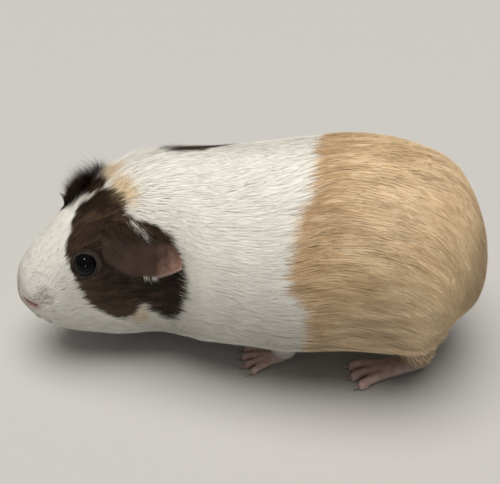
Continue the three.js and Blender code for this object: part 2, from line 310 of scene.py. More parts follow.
# Several shells into one: the points stacked, the corner numbers raised by what came before.
class Shells:
    def __init__(self):
        self.points, self.faces, self.slots, self.places, self.count = [], [], [], [], 0

    def add(self, points, quads, tris=None, slot=0, places=None):
        self.points.append(points)
        self.places.append(np.zeros((len(points), 3)) if places is None else places)
        for faces in (quads, tris):
            if faces is not None and len(faces):
                self.faces.append(faces + self.count)
                self.slots.append(np.full(len(faces), slot))
        self.count += len(points)

    # Each corner takes its point's place; a face across the belly line counts on past half a turn.
    def make(self, name, materials):
        corners, counts = flatFaces(self.faces)
        place = np.vstack(self.places)[corners]
        starts = np.concatenate([[0], np.cumsum(counts)[:-1]])
        high, low = np.maximum.reduceat(place[:, 1], starts), np.minimum.reduceat(place[:, 1], starts)
        across = np.repeat(high - low > 180 / marks["turn"], counts)
        place[:, 1] += np.where(across & (place[:, 1] < 0), 360 / marks["turn"], 0)
        return makePiece(name, np.vstack(self.points), self.faces, materials, np.concatenate(self.slots),
                         cornerValues={"place": place})


# Limbs: tubes along an arc, as the solids have them.
forefoot = {
    "heel": (21, 19), "toe": (-1, 26), "width": 5.2, "height": 6.2,
    "toes": 4, "toeLength": 10, "toeRadius": 1.9, "fan": 15,
    "rightShift": -7, "ankle": 3, "legThick": 6.5, "hair": 1.25,
}
hindfoot = {
    "heel": (88, 18), "toe": (52, 32), "width": 5.6, "height": 7.2,
    "toes": 3, "toeLength": 13, "toeRadius": 2.5, "fan": 13,
    "rightShift": 4, "ankle": 6, "legThick": 8.5, "hair": 1.0,
}
claw = {"length": 4.0, "radius": 0.95, "droop": 1.0, "narrow": 0.75, "point": 0.86, "root": 0.9, "around": 16}


# Vectors brought to length one, or divided by least where they are shorter than that.
def unit(vectors, least=0.0):
    return vectors / np.maximum(np.linalg.norm(vectors, axis=-1, keepdims=True), least)


# A smooth curve through three points: the parabola that meets the first at 0, the second at a half, the
# third at 1.
def arcPoint(three, t):
    a, b, c = (np.asarray(p, float) for p in three)
    t = np.asarray(t, float)[..., None]
    return a * (2 * t - 1) * (t - 1) + b * 4 * t * (1 - t) + c * t * (2 * t - 1)


# A point of a tube: an oval across the arc at t, its two half sizes blended along it, at angle a from its
# side.
def tubePoint(three, halves, t, a):
    ahead = arcPoint(three, t + 0.01) - arcPoint(three, t - 0.01)
    side = unit(np.cross([0, 0, 1.0], ahead))
    up = unit(np.cross(ahead, side))
    wide, tall = (np.interp(t, np.linspace(0, 1, len(halves)), [h[k] for h in halves]) for k in (0, 1))
    end = np.minimum(np.minimum(t, 1 - t) * 6, 1)
    rounding = np.sqrt(np.maximum(1 - (1 - end) ** 2, 0.01))
    return (arcPoint(three, t) + side * (wide * rounding * np.cos(a))[..., None]
            + up * (tall * rounding * np.sin(a))[..., None])


# A round-ended tube: rings closer together toward both ends.
def tube(three, halves, rows=22, around=20):
    t = (1 - np.cos(np.linspace(0.15, math.pi - 0.15, rows))) / 2
    a = np.linspace(0, 2 * math.pi, around, endpoint=False)
    return tubePoint(three, halves, *np.meshgrid(t, a, indexing="ij"))


# Where a foot's heel and toe tips stand in the frame; the solids count their lengths from the middle of
# the body.
def footEnds(foot, side):
    shift = np.array([body["length"] / 2 - origin[0] + (foot["rightShift"] if side > 0 else 0), 0])
    return [np.array([foot[key][0], side * foot[key][1]]) + shift for key in ("heel", "toe")]


# One toe: its root behind the ball of the foot, its end and its heading, fanned out by its number.
def toeLine(foot, side, index):
    heel, tip = footEnds(foot, side)
    ahead = (tip - heel) / np.linalg.norm(tip - heel)
    across = np.array([-ahead[1], ahead[0]])
    place = index - (foot["toes"] - 1) / 2
    root = tip - ahead * foot["toeLength"] * 1.3 + across * place * foot["toeRadius"] * 1.3
    a = math.radians(place * foot["fan"])
    heading = ahead * math.cos(a) + across * math.sin(a)
    return root, root + heading * foot["toeLength"] * (1.3 - 0.08 * place**2), heading


# The palm's arc from heel to ball, and its half sizes.
def palmTube(foot, side):
    heel, tip = footEnds(foot, side)
    half, wide = foot["height"] / 2, foot["width"]
    mid = heel + (tip - heel) * (1 - foot["toeLength"] * 0.75 / np.linalg.norm(tip - heel))
    return ([(*heel, half * 0.95), (*(heel + mid) / 2, half * 0.85), (*mid, half * 0.7)],
            [(wide * 0.8, half), (wide, half * 0.95), (wide, half * 0.8)])


# The leg's arc from above the heel up into the belly, and its half sizes.
def legTube(foot, side):
    heel, _ = footEnds(foot, side)
    x, y, thick = heel[0] - foot["ankle"], foot["heel"][1], foot["legThick"]
    arc = [(x, side * (y + 1), foot["height"] * 0.7), (x + 1, side * (y + 3), 13), (x - 1, side * (y + 7), 26)]
    return arc, [(thick * share, thick * share) for share in (0.72, 0.9, 1)]


# Tubes of one foot: the palm from heel to ball, a knuckled tube for each toe with its pad, and the leg.
def footTubes(foot, side):
    r = foot["toeRadius"]
    yield tube(*palmTube(foot, side), 30, 28)
    for index in range(foot["toes"]):
        root, end, heading = toeLine(foot, side, index)
        yield tube([(*root, r * 0.9), (*(root + end) / 2, r * 1.3), (*end, r * 0.75)],
                   [(r, r * 0.95), (r * 0.88, r), (r * 0.8, r * 0.9)], 30, 20)
        pad = end - heading * r * 0.9
        yield tube([(*(pad - heading * r), r * 0.55), (*pad, r * 0.55), (*(pad + heading * r), r * 0.6)],
                   [(r * 0.9, r * 0.5), (r, r * 0.55), (r * 0.8, r * 0.5)], 14, 16)
    yield tube(*legTube(foot, side), 30, 28)


# Tubes fused into one smooth surface: a voxel remesh, then a few rounds of smoothing, read back as points
# and quads.
def fuse(tubes, voxel, rounds):
    shells = Shells()
    for points in tubes:
        flat, quads, caps = closedGrid(points)
        flat[:, 2] = np.maximum(flat[:, 2], 0.02)
        shells.add(flat, quads, caps)
    draft = shells.make("draft", [])
    remesh = draft.modifiers.new("fuse", "REMESH")
    remesh.mode, remesh.voxel_size = "VOXEL", voxel * mm
    smooth = draft.modifiers.new("smooth", "SMOOTH")
    smooth.factor, smooth.iterations = 0.5, rounds
    mesh = draft.evaluated_get(bpy.context.evaluated_depsgraph_get()).to_mesh()
    points, corners = np.empty(len(mesh.vertices) * 3, np.float32), np.empty(len(mesh.loops), np.int32)
    mesh.vertices.foreach_get("co", points)
    mesh.loops.foreach_get("vertex_index", corners)
    bpy.data.objects.remove(draft)
    return points.reshape(-1, 3) / mm, corners.reshape(-1, 4)


# Ears: petals draped over the side of the head.
ears = {
    "left": {"front": (4.95, 4.85), "back": (6.6, 7.75), "degrees": 35, "tilt": 10, "drop": 30, "lift": 7.0},
    "right": {"front": (5.0, 4.95), "back": (6.0, 6.7), "degrees": 37, "tilt": 12, "drop": 26, "lift": 6.5},
    "frontCorner": 0.4, "backCorner": 0.36, "thick": 1.1, "gap": 0.4, "sink": 2.2, "curl": 0.9, "ridge": 0.22,
}


# Middle of the ear's sheet: across from front (-1) to back (1) edge, down from root (0) to rim (1); it
# stands off the head by a lift that grows with down, with a fold in front, a curled rim and low ridges.
def earMiddle(side, across, down):
    ear = ears["left"] if side < 0 else ears["right"]
    spread = np.sin(down * math.pi / 2)
    front, back = (ear[k][0] + (ear[k][1] - ear[k][0]) * spread for k in ("front", "back"))
    u = front + (back - front) * (across + 1) / 2
    bounded = np.clip(across, -1, 1)
    corner = np.where(across < 0, ears["frontCorner"] * bounded**4, ears["backCorner"] * bounded**2)
    degrees = side * (ear["degrees"] + ear["tilt"] * (across + 1) / 2 + ear["drop"] * down * (1 - corner))
    fold = 2.2 * np.exp(-(((across + 1) / 0.3) ** 2)) * np.sin(math.pi * np.clip(down, 0, 1))
    curl = ears["curl"] * ease(0.75, 1.0, down) * ease(-0.3, 0.5, across)
    ridge = ears["ridge"] * np.cos(across * 9 + 1.5 * down) * np.sin(math.pi * np.clip(down, 0, 1))
    lift = ears["gap"] + ear["lift"] * down * (1 - 0.35 * down) + fold + curl + ridge
    lift = lift - ears["sink"] * (1 - ease(-0.12, 0.1, down))
    return outline(u, degrees) + outward(u, degrees) * lift[..., None]


# Ear point: the middle moved out by its level along the sheet's own normal.
def earPoint(side, across, down, level):
    across, down, level = np.broadcast_arrays(np.asarray(across, float), down, level)
    along = earMiddle(side, across + 0.02, down) - earMiddle(side, across - 0.02, down)
    downward = earMiddle(side, across, down + 0.02) - earMiddle(side, across, down - 0.02)
    return earMiddle(side, across, down) + unit(np.cross(along, downward) * side) * level[..., None]


# Ear sheet: rings across the ear, out along its outer face and back along its inner one, thin at every edge.
def earSheet(side):
    across = np.sin(np.linspace(-math.pi / 2, math.pi / 2, 64))[:, None]
    down = np.sin(np.linspace(-0.1, math.pi / 2, 44))[None]
    sides, rim = 1 - across**8, 1 - np.maximum((down - 0.9) / 0.1, 0) ** 2
    half = ears["thick"] / 2 * (np.sqrt(np.maximum(sides, 0.02)) * np.sqrt(np.maximum(rim, 0.02)))
    outer = earPoint(side, across, down, half)
    inner = earPoint(side, across, down, -half)[:, ::-1]
    places = np.stack(np.broadcast_arrays(across, np.concatenate([down, down[:, ::-1]], 1), 1.0), -1)
    return np.concatenate([outer, inner], 1), places


# Shader values as expressions: each operator adds one Math node; a number may stand on either side.
class Wire:
    def __init__(self, finish, socket):
        self.finish, self.socket = finish, socket

    def math(self, operation, *inputs):
        return self.finish.node("ShaderNodeMath", {"operation": operation}, inputs)

    def __add__(self, other):
        return self.math("ADD", self, other)

    def __sub__(self, other):
        return self.math("SUBTRACT", self, other)

    def __rsub__(self, other):
        return self.math("SUBTRACT", other, self)

    def __mul__(self, other):
        return self.math("MULTIPLY", self, other)

    def __pow__(self, other):
        return self.math("POWER", self, other)

    __radd__, __rmul__ = __add__, __mul__

    # The greater of two values.
    def most(self, other):
        return self.math("MAXIMUM", self, other)

    # 0 below low and 1 above high, easing between.
    def rise(self, low, high):
        settings = {"interpolation_type": "SMOOTHSTEP"}
        return self.finish.node("ShaderNodeMapRange", settings, [self, low, high, 0.0, 1.0])


# A material with its constants on the shader's own sockets, and the one method that adds any node.
class Finish:
    def __init__(self, name, constants):
        self.material = bpy.data.materials.new(name)
        self.material.use_nodes = True
        self.tree = self.material.node_tree
        self.shader = self.tree.nodes["Principled BSDF"]
        for socket, value in constants.items():
            self.put(self.shader.inputs[socket], value)

    def put(self, socket, value):
        if isinstance(value, Wire):
            self.tree.links.new(value.socket, socket)
        elif isinstance(value, tuple) and socket.type == "RGBA":
            socket.default_value = (*value, 1.0)
        else:
            socket.default_value = value

    def node(self, kind, settings=None, inputs=(), output=0):
        node = self.tree.nodes.new(kind)
        for key, value in (settings or {}).items():
            setattr(node, key, value)
        for key, value in inputs.items() if isinstance(inputs, dict) else enumerate(inputs):
            self.put(node.inputs[key], value)
        return Wire(self, node.outputs[output])

    def attribute(self, name, output="Fac"):
        return self.node("ShaderNodeAttribute", {"attribute_name": name}, (), output)

    def parts(self, vector):
        pieces = self.node("ShaderNodeSeparateXYZ", None, [vector])
        return [Wire(self, pieces.socket.node.outputs[k]) for k in range(3)]

    def vector(self, x, y, z=0.0):
        return self.node("ShaderNodeCombineXYZ", None, [x, y, z])

    # Colour mixed from a to b by a mask.
    def mix(self, mask, a, b):
        return self.node("ShaderNodeMix", {"data_type": "RGBA"}, {0: mask, 6: a, 7: b}, 2)

    # Tones laid over a colour one after another, each by its own mask.
    def lay(self, colour, *layers):
        for mask, tone in layers:
            colour = self.mix(mask, colour, tones[tone])
        return colour

    def scale(self, colour, factor):
        return self.node("ShaderNodeVectorMath", {"operation": "SCALE"}, {0: colour, 3: factor})

    def noise(self, vector, scale, detail=2.0, roughness=0.5):
        return self.node("ShaderNodeTexNoise", None,
                         {"Vector": vector, "Scale": scale, "Detail": detail, "Roughness": roughness})

    def place(self):
        return self.node("ShaderNodeTexCoord", None, (), "Object")

    def bump(self, height, strength, distance):
        inputs = {"Height": height, "Strength": strength, "Distance": distance * mm}
        self.put(self.shader.inputs["Normal"], self.node("ShaderNodeBump", None, inputs))


# Markings, shared by skin and coat: places are (section, turns of 32 degrees from the back line, right
# side positive).
marks = {
    "turn": 32.0,
    # capsules: two ends and a radius
    "nearCheek": ((4.65, -1.1), (4.75, -2.0), 1.15), "nearJaw": ((5.6, -1.9), (6.55, -2.35), 0.88),
    "farCheek": ((4.7, 1.05), (4.7, 1.9), 0.95), "farEar": ((5.1, 1.4), (5.9, 2.2), 0.7),
    "farBrow": ((4.62, 0.3), (5.22, 0.06), 0.23), "withers": ((7.45, 1.05), (7.8, 1.2), 0.66),
    "crown": ((5.7, -0.3), (5.9, -0.62), 0.25), "farCrown": ((5.55, 0.22), (5.7, 0.4), 0.24),
    "throat": ((5.25, -3.15), (5.5, -3.15), 0.26), "earStreak": ((5.75, -0.9), (6.1, -1.2), 0.07),
    "pad": ((1.3, 2.35), (2.2, 2.1), 0.35), "saddleLobe": ((10.6, -1.45), (10.52, -1.95), 0.72),
    # the blaze: the near patch stays below both lines, each a height, a slope and the section it holds at
    "blaze": ((-0.14, -0.06, 5.0), (-0.27, 1.13, 4.25)),
    "saddle": 10.17, "saddleBack": 0.3, "saddleWave": 0.12, "belly": 4.15,
    "streak": 0.35, "edge": 0.07, "edgeWave": 0.18,
}
tones = {
    "white": (0.93, 0.905, 0.83), "cream": (0.80, 0.71, 0.55), "amber": (0.80, 0.60, 0.34),
    "gold": (0.78, 0.58, 0.335), "goldLight": (0.86, 0.67, 0.42),
    "goldDeep": (0.66, 0.435, 0.225), "goldPale": (0.90, 0.74, 0.52),
    "brown": (0.040, 0.023, 0.013), "farBrown": (0.062, 0.036, 0.023),
    "brownTip": (0.15, 0.09, 0.055), "tan": (0.12, 0.075, 0.045), "pad": (0.20, 0.155, 0.135),
    # the nostril tone is painted shade inside the nostril slits
    "nose": (0.56, 0.34, 0.30), "nostril": (0.16, 0.075, 0.065), "noseHair": (0.72, 0.52, 0.46),
    "eyeRing": (0.040, 0.027, 0.022), "eyeRingDark": (0.030, 0.020, 0.017), "eyeSkin": (0.085, 0.058, 0.044),
    "pupil": (0.0025, 0.0025, 0.003), "irisDark": (0.002, 0.002, 0.003), "irisRay": (0.006, 0.004, 0.004),
    "earDark": (0.030, 0.018, 0.013), "earLow": (0.058, 0.033, 0.024),
    "earPink": (0.235, 0.135, 0.10), "earRim": (0.42, 0.31, 0.26),
    "foot": (0.76, 0.55, 0.49), "footCrease": (0.60, 0.40, 0.35),
    "horn": (0.42, 0.34, 0.27), "quick": (0.34, 0.19, 0.15),
    "whisker": (0.80, 0.78, 0.74), "whiskerRoot": (0.45, 0.4, 0.36),
}


# Distance outside a capsule: from the place to the nearest point of the line between its ends, less its
# radius.
def capsule(finish, u, v, shape):
    (au, av), (bu, bv), radius = shape
    du, dv = bu - au, bv - av
    size = du * du + dv * dv
    along = finish.node("ShaderNodeClamp", None, [(u - au) * (du / size) + (v - av) * (dv / size), 0.0, 1.0])
    x, y = u - au - along * du, v - av - along * dv
    return (x * x + y * y) ** 0.5 - radius


# Gold of the hindquarters: blotched, deeper just behind its border, darker toward the tail as painted shade on
# the rump's end, paler and deeper strand by strand, paler low on the flanks, and cream under the belly.
def goldColour(finish, place, u, v, border):
    strands = finish.noise(finish.vector(u * 0.7, v * 13.0), 2.0, 3.0, 0.6)
    under = v.math("ABSOLUTE", v)
    gold = finish.mix(finish.noise(place, 0.9, 2.0).rise(0.35, 0.7), tones["gold"], tones["goldLight"])
    gold = finish.lay(
        gold,
        ((1 - (border - marks["saddle"]).rise(0.15, 1.1)) * 0.8, "goldDeep"),
        (strands.rise(0.5, 0.66) * 0.6, "goldPale"),
        ((1 - strands.rise(0.34, 0.48)) * 0.6, "goldDeep"),
        (under.rise(2.0, 3.4) * (1 - u.rise(12.5, 14.5)) * 0.55, "goldPale"),
        # painted shade: deeper gold toward the rump's end
        (u.rise(12.6, 15.2) * 0.6, "goldDeep"),
    )
    # painted shade: the gold scaled darker toward the tail end; paler low on the flanks
    gold = finish.scale(gold, 1.06 - u.rise(12.6, 15.4) * 0.3 + under.rise(2.2, 3.4) * 0.12)
    return finish.lay(gold, (under.rise(marks["belly"] - 0.35, marks["belly"] + 0.1), "cream"))


# The marked colour at a place: white, the gold saddle, amber on crown and throat, brown patches, then the
# pad and the barer skin of nose and eyelids; with it how dark and how coloured the place is, and the
# place itself.
def markedColour(finish):
    place = finish.attribute("place", "Vector")
    u, v, bare = finish.parts(place)
    waveAlong, waveAround = (finish.noise(place, scale, 3.0, 0.6) - 0.5 for scale in (1.7, 2.3))
    u, v = u + waveAlong * marks["edgeWave"] * 2, v + waveAround * marks["edgeWave"] * 2
    edge = marks["edge"]
    streaks = (finish.noise(finish.vector(u * 0.9, v * 9.0), 2.0, 2.0, 0.6) - 0.5) * marks["streak"]

    def patch(name, soft=1.0):
        return 1 - (capsule(finish, u, v, marks[name]) + streaks).rise(-edge * soft, edge * soft)

    ripple = (finish.noise(finish.vector(v, 0.0), 1.1, 2.0) - 0.5) * marks["saddleWave"] * 2
    border = u - v.rise(-0.5, 2.5) * marks["saddleBack"] - ripple
    saddle = (border + streaks * 0.5 - marks["saddle"]).rise(-0.1, 0.1).most(patch("saddleLobe", 1.5))
    colour = finish.mix(saddle, tones["white"], goldColour(finish, place, u, v, border))

    belowBlaze = 1.0
    for height, slope, at in marks["blaze"]:
        belowBlaze = belowBlaze * (1 - (v - height - (u - at) * slope).rise(-edge, edge))
    near = patch("nearCheek").most(patch("nearJaw")) * belowBlaze * (1 - patch("earStreak"))
    far = patch("farCheek").most(patch("farEar")).most(patch("farBrow"))
    dark = near.most(far)
    colour = finish.lay(
        colour,
        (patch("crown", 2.6) * 0.8, "amber"), (patch("farCrown", 2.0) * 0.6, "amber"),
        (patch("throat", 2.0) * 0.5, "amber"), (far, "farBrown"), (patch("withers"), "farBrown"),
    )
    cheekRim = capsule(finish, u, v, marks["nearCheek"]).rise(-0.6, 0.0)
    low = cheekRim * (0 - v).rise(1.5, 2.3) * (1 - patch("nearJaw", 4.0))
    colour = finish.mix(near, colour, finish.mix(low, tones["brown"], tones["tan"]))
    speck = finish.noise(place, 9.0, 3.0, 0.7).rise(0.4, 0.62)
    pad = 1 - capsule(finish, u, v.math("ABSOLUTE", v), marks["pad"]).rise(-0.25, 0.25)
    colour = finish.lay(
        colour,
        (patch("crown", 3.5) * near * 0.55, "amber"), (pad * (speck * 0.6 + 0.15), "pad"),
        (bare.rise(0.03, 0.6) * 0.75, "noseHair"), ((0 - bare).rise(0.3, 1.1) * 0.75, "eyeSkin"),
    )
    return colour, dark, dark.most(saddle), u, v, bare


# Coat: closed tapering tufts, three-sided like a roof, rooted in the skin and lying back along the body.
coat = {
    # sections at which the values below hold, with a straight blend between: tuft length, width, and tufts
    # a square millimetre
    "at": (0.0, 1.5, 3.0, 4.5, 6.5, 9.0, 16.0),
    "length": (1.8, 3.2, 4.8, 8.3, 11.5, 15.0, 15.0),
    "width": (0.17, 0.2, 0.25, 0.29, 0.33, 0.35, 0.35),
    "density": (8.6, 7.2, 5.1, 3.2, 2.4, 1.68, 1.58),
    # a tuft's steps from root to tip, its width at the first two, the height of its ridge, how fast it
    # rises, and the share of its colour that is its own point's, the rest being taken from the steps by
    # the shares seen
    "steps": (0.0, 0.32, 1.0), "taper": (0.8, 1.0), "roof": 0.1, "rise": 5.0,
    "own": 0.25, "seen": (0.0, 0.7, 0.3),
    # the low hair is wide and fills the gaps, the high hair is fine
    "low": 0.94, "wideLow": 2.2, "wideHigh": 0.5,
    # locks: their size in sections and degrees, how far hairs gather to the middle, and degrees that they
    # turn by
    "lockLong": 0.42, "lockWide": 4.0, "gather": 0.05, "lockTurn": 2.0, "wander": 5, "strayTurn": 7,
    "standMost": 0.85, "standDense": 0.35, "flyaway": 0.02,
    "pieceMost": 19000, "mapPatch": 0.003,
}


# Coat finish: the marked colour, darker at the roots as painted shade deep in the coat, lighter or darker
# lock by lock, brown hair paler at some tips.
def coatFinish():
    finish = Finish("coat", {"Roughness": 0.62, "Specular IOR Level": 0.2})
    colour, dark, coloured = markedColour(finish)[:3]
    shade, along, across = (finish.attribute(name) for name in ("shade", "along", "across"))
    hairs = finish.noise(finish.vector(across * 2.6 + shade * 57, along * 1.2), 2.2, 3.0, 0.6)
    colour = finish.lay(
        colour,
        (dark * along.rise(0.2, 1.0) * shade.rise(0.4, 1.0) * 0.85, "brownTip"),
        ((coloured - dark) * (1 - shade.rise(0.1, 0.6)) * 0.5, "goldDeep"),
        ((coloured - dark) * shade.rise(0.55, 1.0) * 0.5, "goldPale"),
    )
    variety = 0.12 + coloured * 0.24 + dark * 0.2
    # painted shade: the tone falls toward the roots, where the coat shades itself
    tone = (1.04 - variety + shade * variety) * (1 - (1 - along.rise(-0.1, 0.6)) * (0.12 + coloured * 0.2))
    tone = tone * (1 - variety * 0.7 + hairs * variety * 1.4)
    finish.put(finish.shader.inputs["Base Color"], finish.scale(colour, tone))
    return finish.material


# Skin under the coat: the same markings darkened as painted shade under the hair, with fine hair grooves,
# pink about the nostrils and dark inside them as painted shade in the slits, grey-brown about the eyes.
def skinFinish():
    finish = Finish("furredSkin", {"Roughness": 0.7, "Specular IOR Level": 0.25})
    colour, _, _, u, v, bare = markedColour(finish)
    grooves = finish.noise(finish.vector(u * 2.2, v * 22.0), 2.0, 3.0, 0.6)
    # painted shade: the markings darkened as if shadowed by the coat, varying with the grooves
    colour = finish.scale(colour, 0.8 + grooves * 0.3)
    # the nostril tone is painted shade inside the slits
    colour = finish.lay(colour, (bare.rise(0.12, 0.6), "nose"), (bare.rise(0.72, 0.97), "nostril"))
    finish.put(finish.shader.inputs["Base Color"], colour)
    finish.bump(grooves + finish.noise(finish.place(), 900.0, 3.0) * 0.4, 0.5, 0.5)
    return finish.material


# Bare skin: one tone mottled with a darker one, and fine creases, so many a metre, of a depth in
# millimetres.
def bareFinish(name, tone, darker, crease, depth, roughness=0.55):
    finish = Finish(name, {"Roughness": roughness, "Specular IOR Level": 0.35})
    place = finish.place()
    mottle = finish.noise(place, crease * 0.22, 3.0, 0.6)
    inputs = {"Vector": place, "Scale": crease}
    cells = finish.node("ShaderNodeTexVoronoi", {"feature": "DISTANCE_TO_EDGE"}, inputs)
    colour = finish.mix(mottle.rise(0.35, 0.7), tones[darker], tones[tone])
    finish.put(finish.shader.inputs["Base Color"], colour)
    finish.bump(cells.rise(0.0, 0.12) + finish.noise(place, crease * 2.5, 2.0) * 0.5, 0.45, depth)
    return finish.material


# Ear skin: dark at the root and front, dusky below, pink toward the lower back rim, with faint veins.
def earFinish():
    finish = Finish("earSkin", {"Roughness": 0.6, "Specular IOR Level": 0.2})
    across, down, _ = finish.parts(finish.attribute("place", "Vector"))
    place = finish.place()
    veins = finish.noise(place, 170.0, 4.0, 0.7)
    pink = (across + veins * 0.8).rise(0.55, 1.35) * (down + veins * 0.5).rise(0.6, 1.2)
    low = (down + veins * 0.4).rise(0.35, 1.1)
    colour = finish.mix(pink, finish.mix(low, tones["earDark"], tones["earLow"]), tones["earPink"])
    rim = (down + veins * 0.04).rise(0.93, 1.0) * across.rise(-0.2, 0.7)
    colour = finish.mix(rim * 0.5, colour, tones["earRim"])
    finish.put(finish.shader.inputs["Base Color"], finish.scale(colour, 0.75 + veins * 0.5))
    finish.bump(veins + finish.noise(place, 900.0, 2.0) * 0.3, 0.5, 0.35)
    return finish.material


# Eyeball: pupil, dark iris with fine rays and a black rim, by the angle from the eye's axis, glossy as if
# wet.
def eyeFinish():
    finish = Finish("eyeball", {"Roughness": 0.02, "Specular IOR Level": 0.1})
    polar, turn = finish.attribute("polar"), finish.attribute("turn")
    rays = finish.noise(finish.vector(turn * 14.0, polar * 1.5), 3.0, 3.0, 0.7)
    iris = finish.mix(rays.rise(0.35, 0.75), tones["irisDark"], tones["irisRay"])
    mask = polar.rise(0.26, 0.32) * (1 - polar.rise(0.55, 0.64))
    finish.put(finish.shader.inputs["Base Color"], finish.mix(mask, tones["pupil"], iris))
    return finish.material


# Claw horn: flesh-toned quick inside paler horn, with grooves along it.
def clawFinish():
    finish = Finish("clawHorn", {"Roughness": 0.35, "Specular IOR Level": 0.5})
    along, turn = finish.attribute("along"), finish.attribute("turn")
    grooves = finish.noise(finish.vector(turn * 6.0, along * 0.8), 3.0, 2.0)
    colour = finish.mix(along.rise(0.2, 0.65), tones["quick"], tones["horn"])
    finish.put(finish.shader.inputs["Base Color"], finish.scale(colour, 0.75 + grooves * 0.4))
    finish.bump(grooves, 0.4, 0.1)
    return finish.material


# Whisker: one pale tone, darker at the root.
def whiskerFinish():
    finish = Finish("whiskerHair", {"Roughness": 0.4, "Specular IOR Level": 0.5})
    colour = finish.mix(finish.attribute("along").rise(0.0, 0.35), tones["whiskerRoot"], tones["whisker"])
    finish.put(finish.shader.inputs["Base Color"], colour)
    return finish.material


coatMaterial, skinMaterial, earMaterial = coatFinish(), skinFinish(), earFinish()
lidMaterial = bareFinish("lidSkin", "eyeRing", "eyeRingDark", 2600.0, 0.12, 0.4)
footMaterial = bareFinish("footSkin", "foot", "footCrease", 1500.0, 0.16)
print("finishes ready")


# The eye's axis: from its centre, sunk below the coat's outline, straight out.
def eyeAxis(side):
    degrees = side * eye["degrees"]
    axis = outward(eye["section"], degrees)
    return outline(eye["section"], degrees) - axis * eye["sink"], axis


# Directions round an eye's axis: back along the head, and up toward the crown.
def eyeFrame(side):
    centre, axis = eyeAxis(side)
    degrees = side * eye["degrees"]
    back = outline(eye["section"] + 0.2, degrees) - outline(eye["section"] - 0.2, degrees)
    back = unit(back - axis * (back @ axis))
    up = np.cross(axis, back)
    return centre, axis, back, up * np.sign(up[2])


eyeFrames = {side: eyeFrame(side) for side in (-1, 1)}


# How bare the skin is: up to 1 at the nostrils, down to -1 at the eyelids, 0 under the coat.
def bareness(points):
    bare = np.exp(-((slitAway(points) / 1.9) ** 2))
    for centre, *_ in eyeFrames.values():
        away = np.linalg.norm(points - centre, axis=-1)
        bare = bare - np.exp(-((np.maximum(away - eye["radius"], 0) / 2.4) ** 2))
    return bare


# The body's skin: rows along, columns around, lifted in a low rim about each eye.
def bodySkin():
    headRows = np.linspace(body["firstSection"], skin["headEnd"], skin["headRows"])
    trunkRows = np.linspace(skin["headEnd"], body["lastSection"], skin["trunkRows"])
    u = np.concatenate([headRows, trunkRows[1:]])[:, None]
    degrees = np.linspace(-180, 180, skin["around"], endpoint=False)[None]
    points, out = skinPoint(u, degrees), outward(u, degrees)
    for centre, *_ in eyeFrames.values():
        away = np.linalg.norm(points - centre, axis=-1, keepdims=True)
        points = points + out * eye["rim"] * hump(away - eye["radius"] - eye["rimAway"], eye["rimWide"])
    u, degrees = np.broadcast_arrays(u, degrees)
    places = np.stack([u, degrees / marks["turn"], bareness(points)], -1).reshape(-1, 3)
    flat, quads, caps = closedGrid(points)
    places = np.vstack([places, [[u[0, 0], 5.0, 0], [u[-1, 0], 5.0, 0]]])
    return flat, quads, caps, places


# Eyelids: an oval section carried round the ball, the opening drawn out at both corners, the upper lid
# lower and fuller.
def eyelids(side):
    centre, axis, back, up = eyeFrames[side]
    turn = np.linspace(0, 2 * math.pi, 96, endpoint=False)[:, None]
    section = np.linspace(0, 2 * math.pi, 18, endpoint=False)[None]
    upper = np.maximum(np.sin(turn), 0)
    opening = eye["openAngle"] + eye["cornerReach"] * np.cos(turn) ** 6 - eye["upperDrop"] * upper
    wide, high = eye["lidWide"] * (1 + 0.25 * upper), eye["lidHigh"] * (1 + 0.3 * upper)
    middle = opening + np.degrees(wide / eye["radius"])
    crinkle = 1 + 0.06 * np.sin(turn * 23) * np.maximum(np.cos(section), -0.2)
    angle = np.radians(middle - np.degrees(wide / eye["radius"]) * np.cos(section))
    radius = eye["radius"] + 0.05 + high * crinkle * np.sin(section)
    ahead = axis * np.cos(angle)[..., None]
    out = (back * np.cos(turn)[..., None] + up * np.sin(turn)[..., None]) * np.sin(angle)[..., None]
    points = centre + radius[..., None] * (ahead + out)
    rows, columns = points.shape[:2]
    i, j = np.meshgrid(np.arange(rows), np.arange(columns), indexing="ij")
    k, m = (i + 1) % rows, (j + 1) % columns
    quads = np.stack([i * columns + j, i * columns + m, k * columns + m, k * columns + j], -1).reshape(-1, 4)
    return points.reshape(-1, 3), quads if side < 0 else quads[:, ::-1]


# One skin for all the flesh: body, ears, eyelids, and each foot fused with its leg.
def makeSkin():
    shells = Shells()
    flat, quads, caps, places = bodySkin()
    shells.add(flat, quads, caps, 0, places)
    for side in (-1, 1):
        points, earPlaces = earSheet(side)
        flat, quads = foldedGrid(points, side > 0)
        shells.add(flat, quads, None, 1, earPlaces.reshape(-1, 3))
        points, quads = eyelids(side)
        shells.add(points, quads, None, 2)
        for foot in (forefoot, hindfoot):
            points, quads = fuse(footTubes(foot, side), skin["footVoxel"], 4)
            shells.add(points, quads, None, 3)
    return shells.make("skin", [skinMaterial, earMaterial, lidMaterial, footMaterial])


skinPiece = makeSkin()
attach(skinPiece, "root")
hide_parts("head", "neck", "chest", "barrel", "rump", *(
    f"{part}_{side}" for part in ("ear", "foreleg", "hindleg", "forefoot", "hindfoot")
    for side in ("left", "right")))
print("skin ready,", len(skinPiece.data.polygons), "faces")


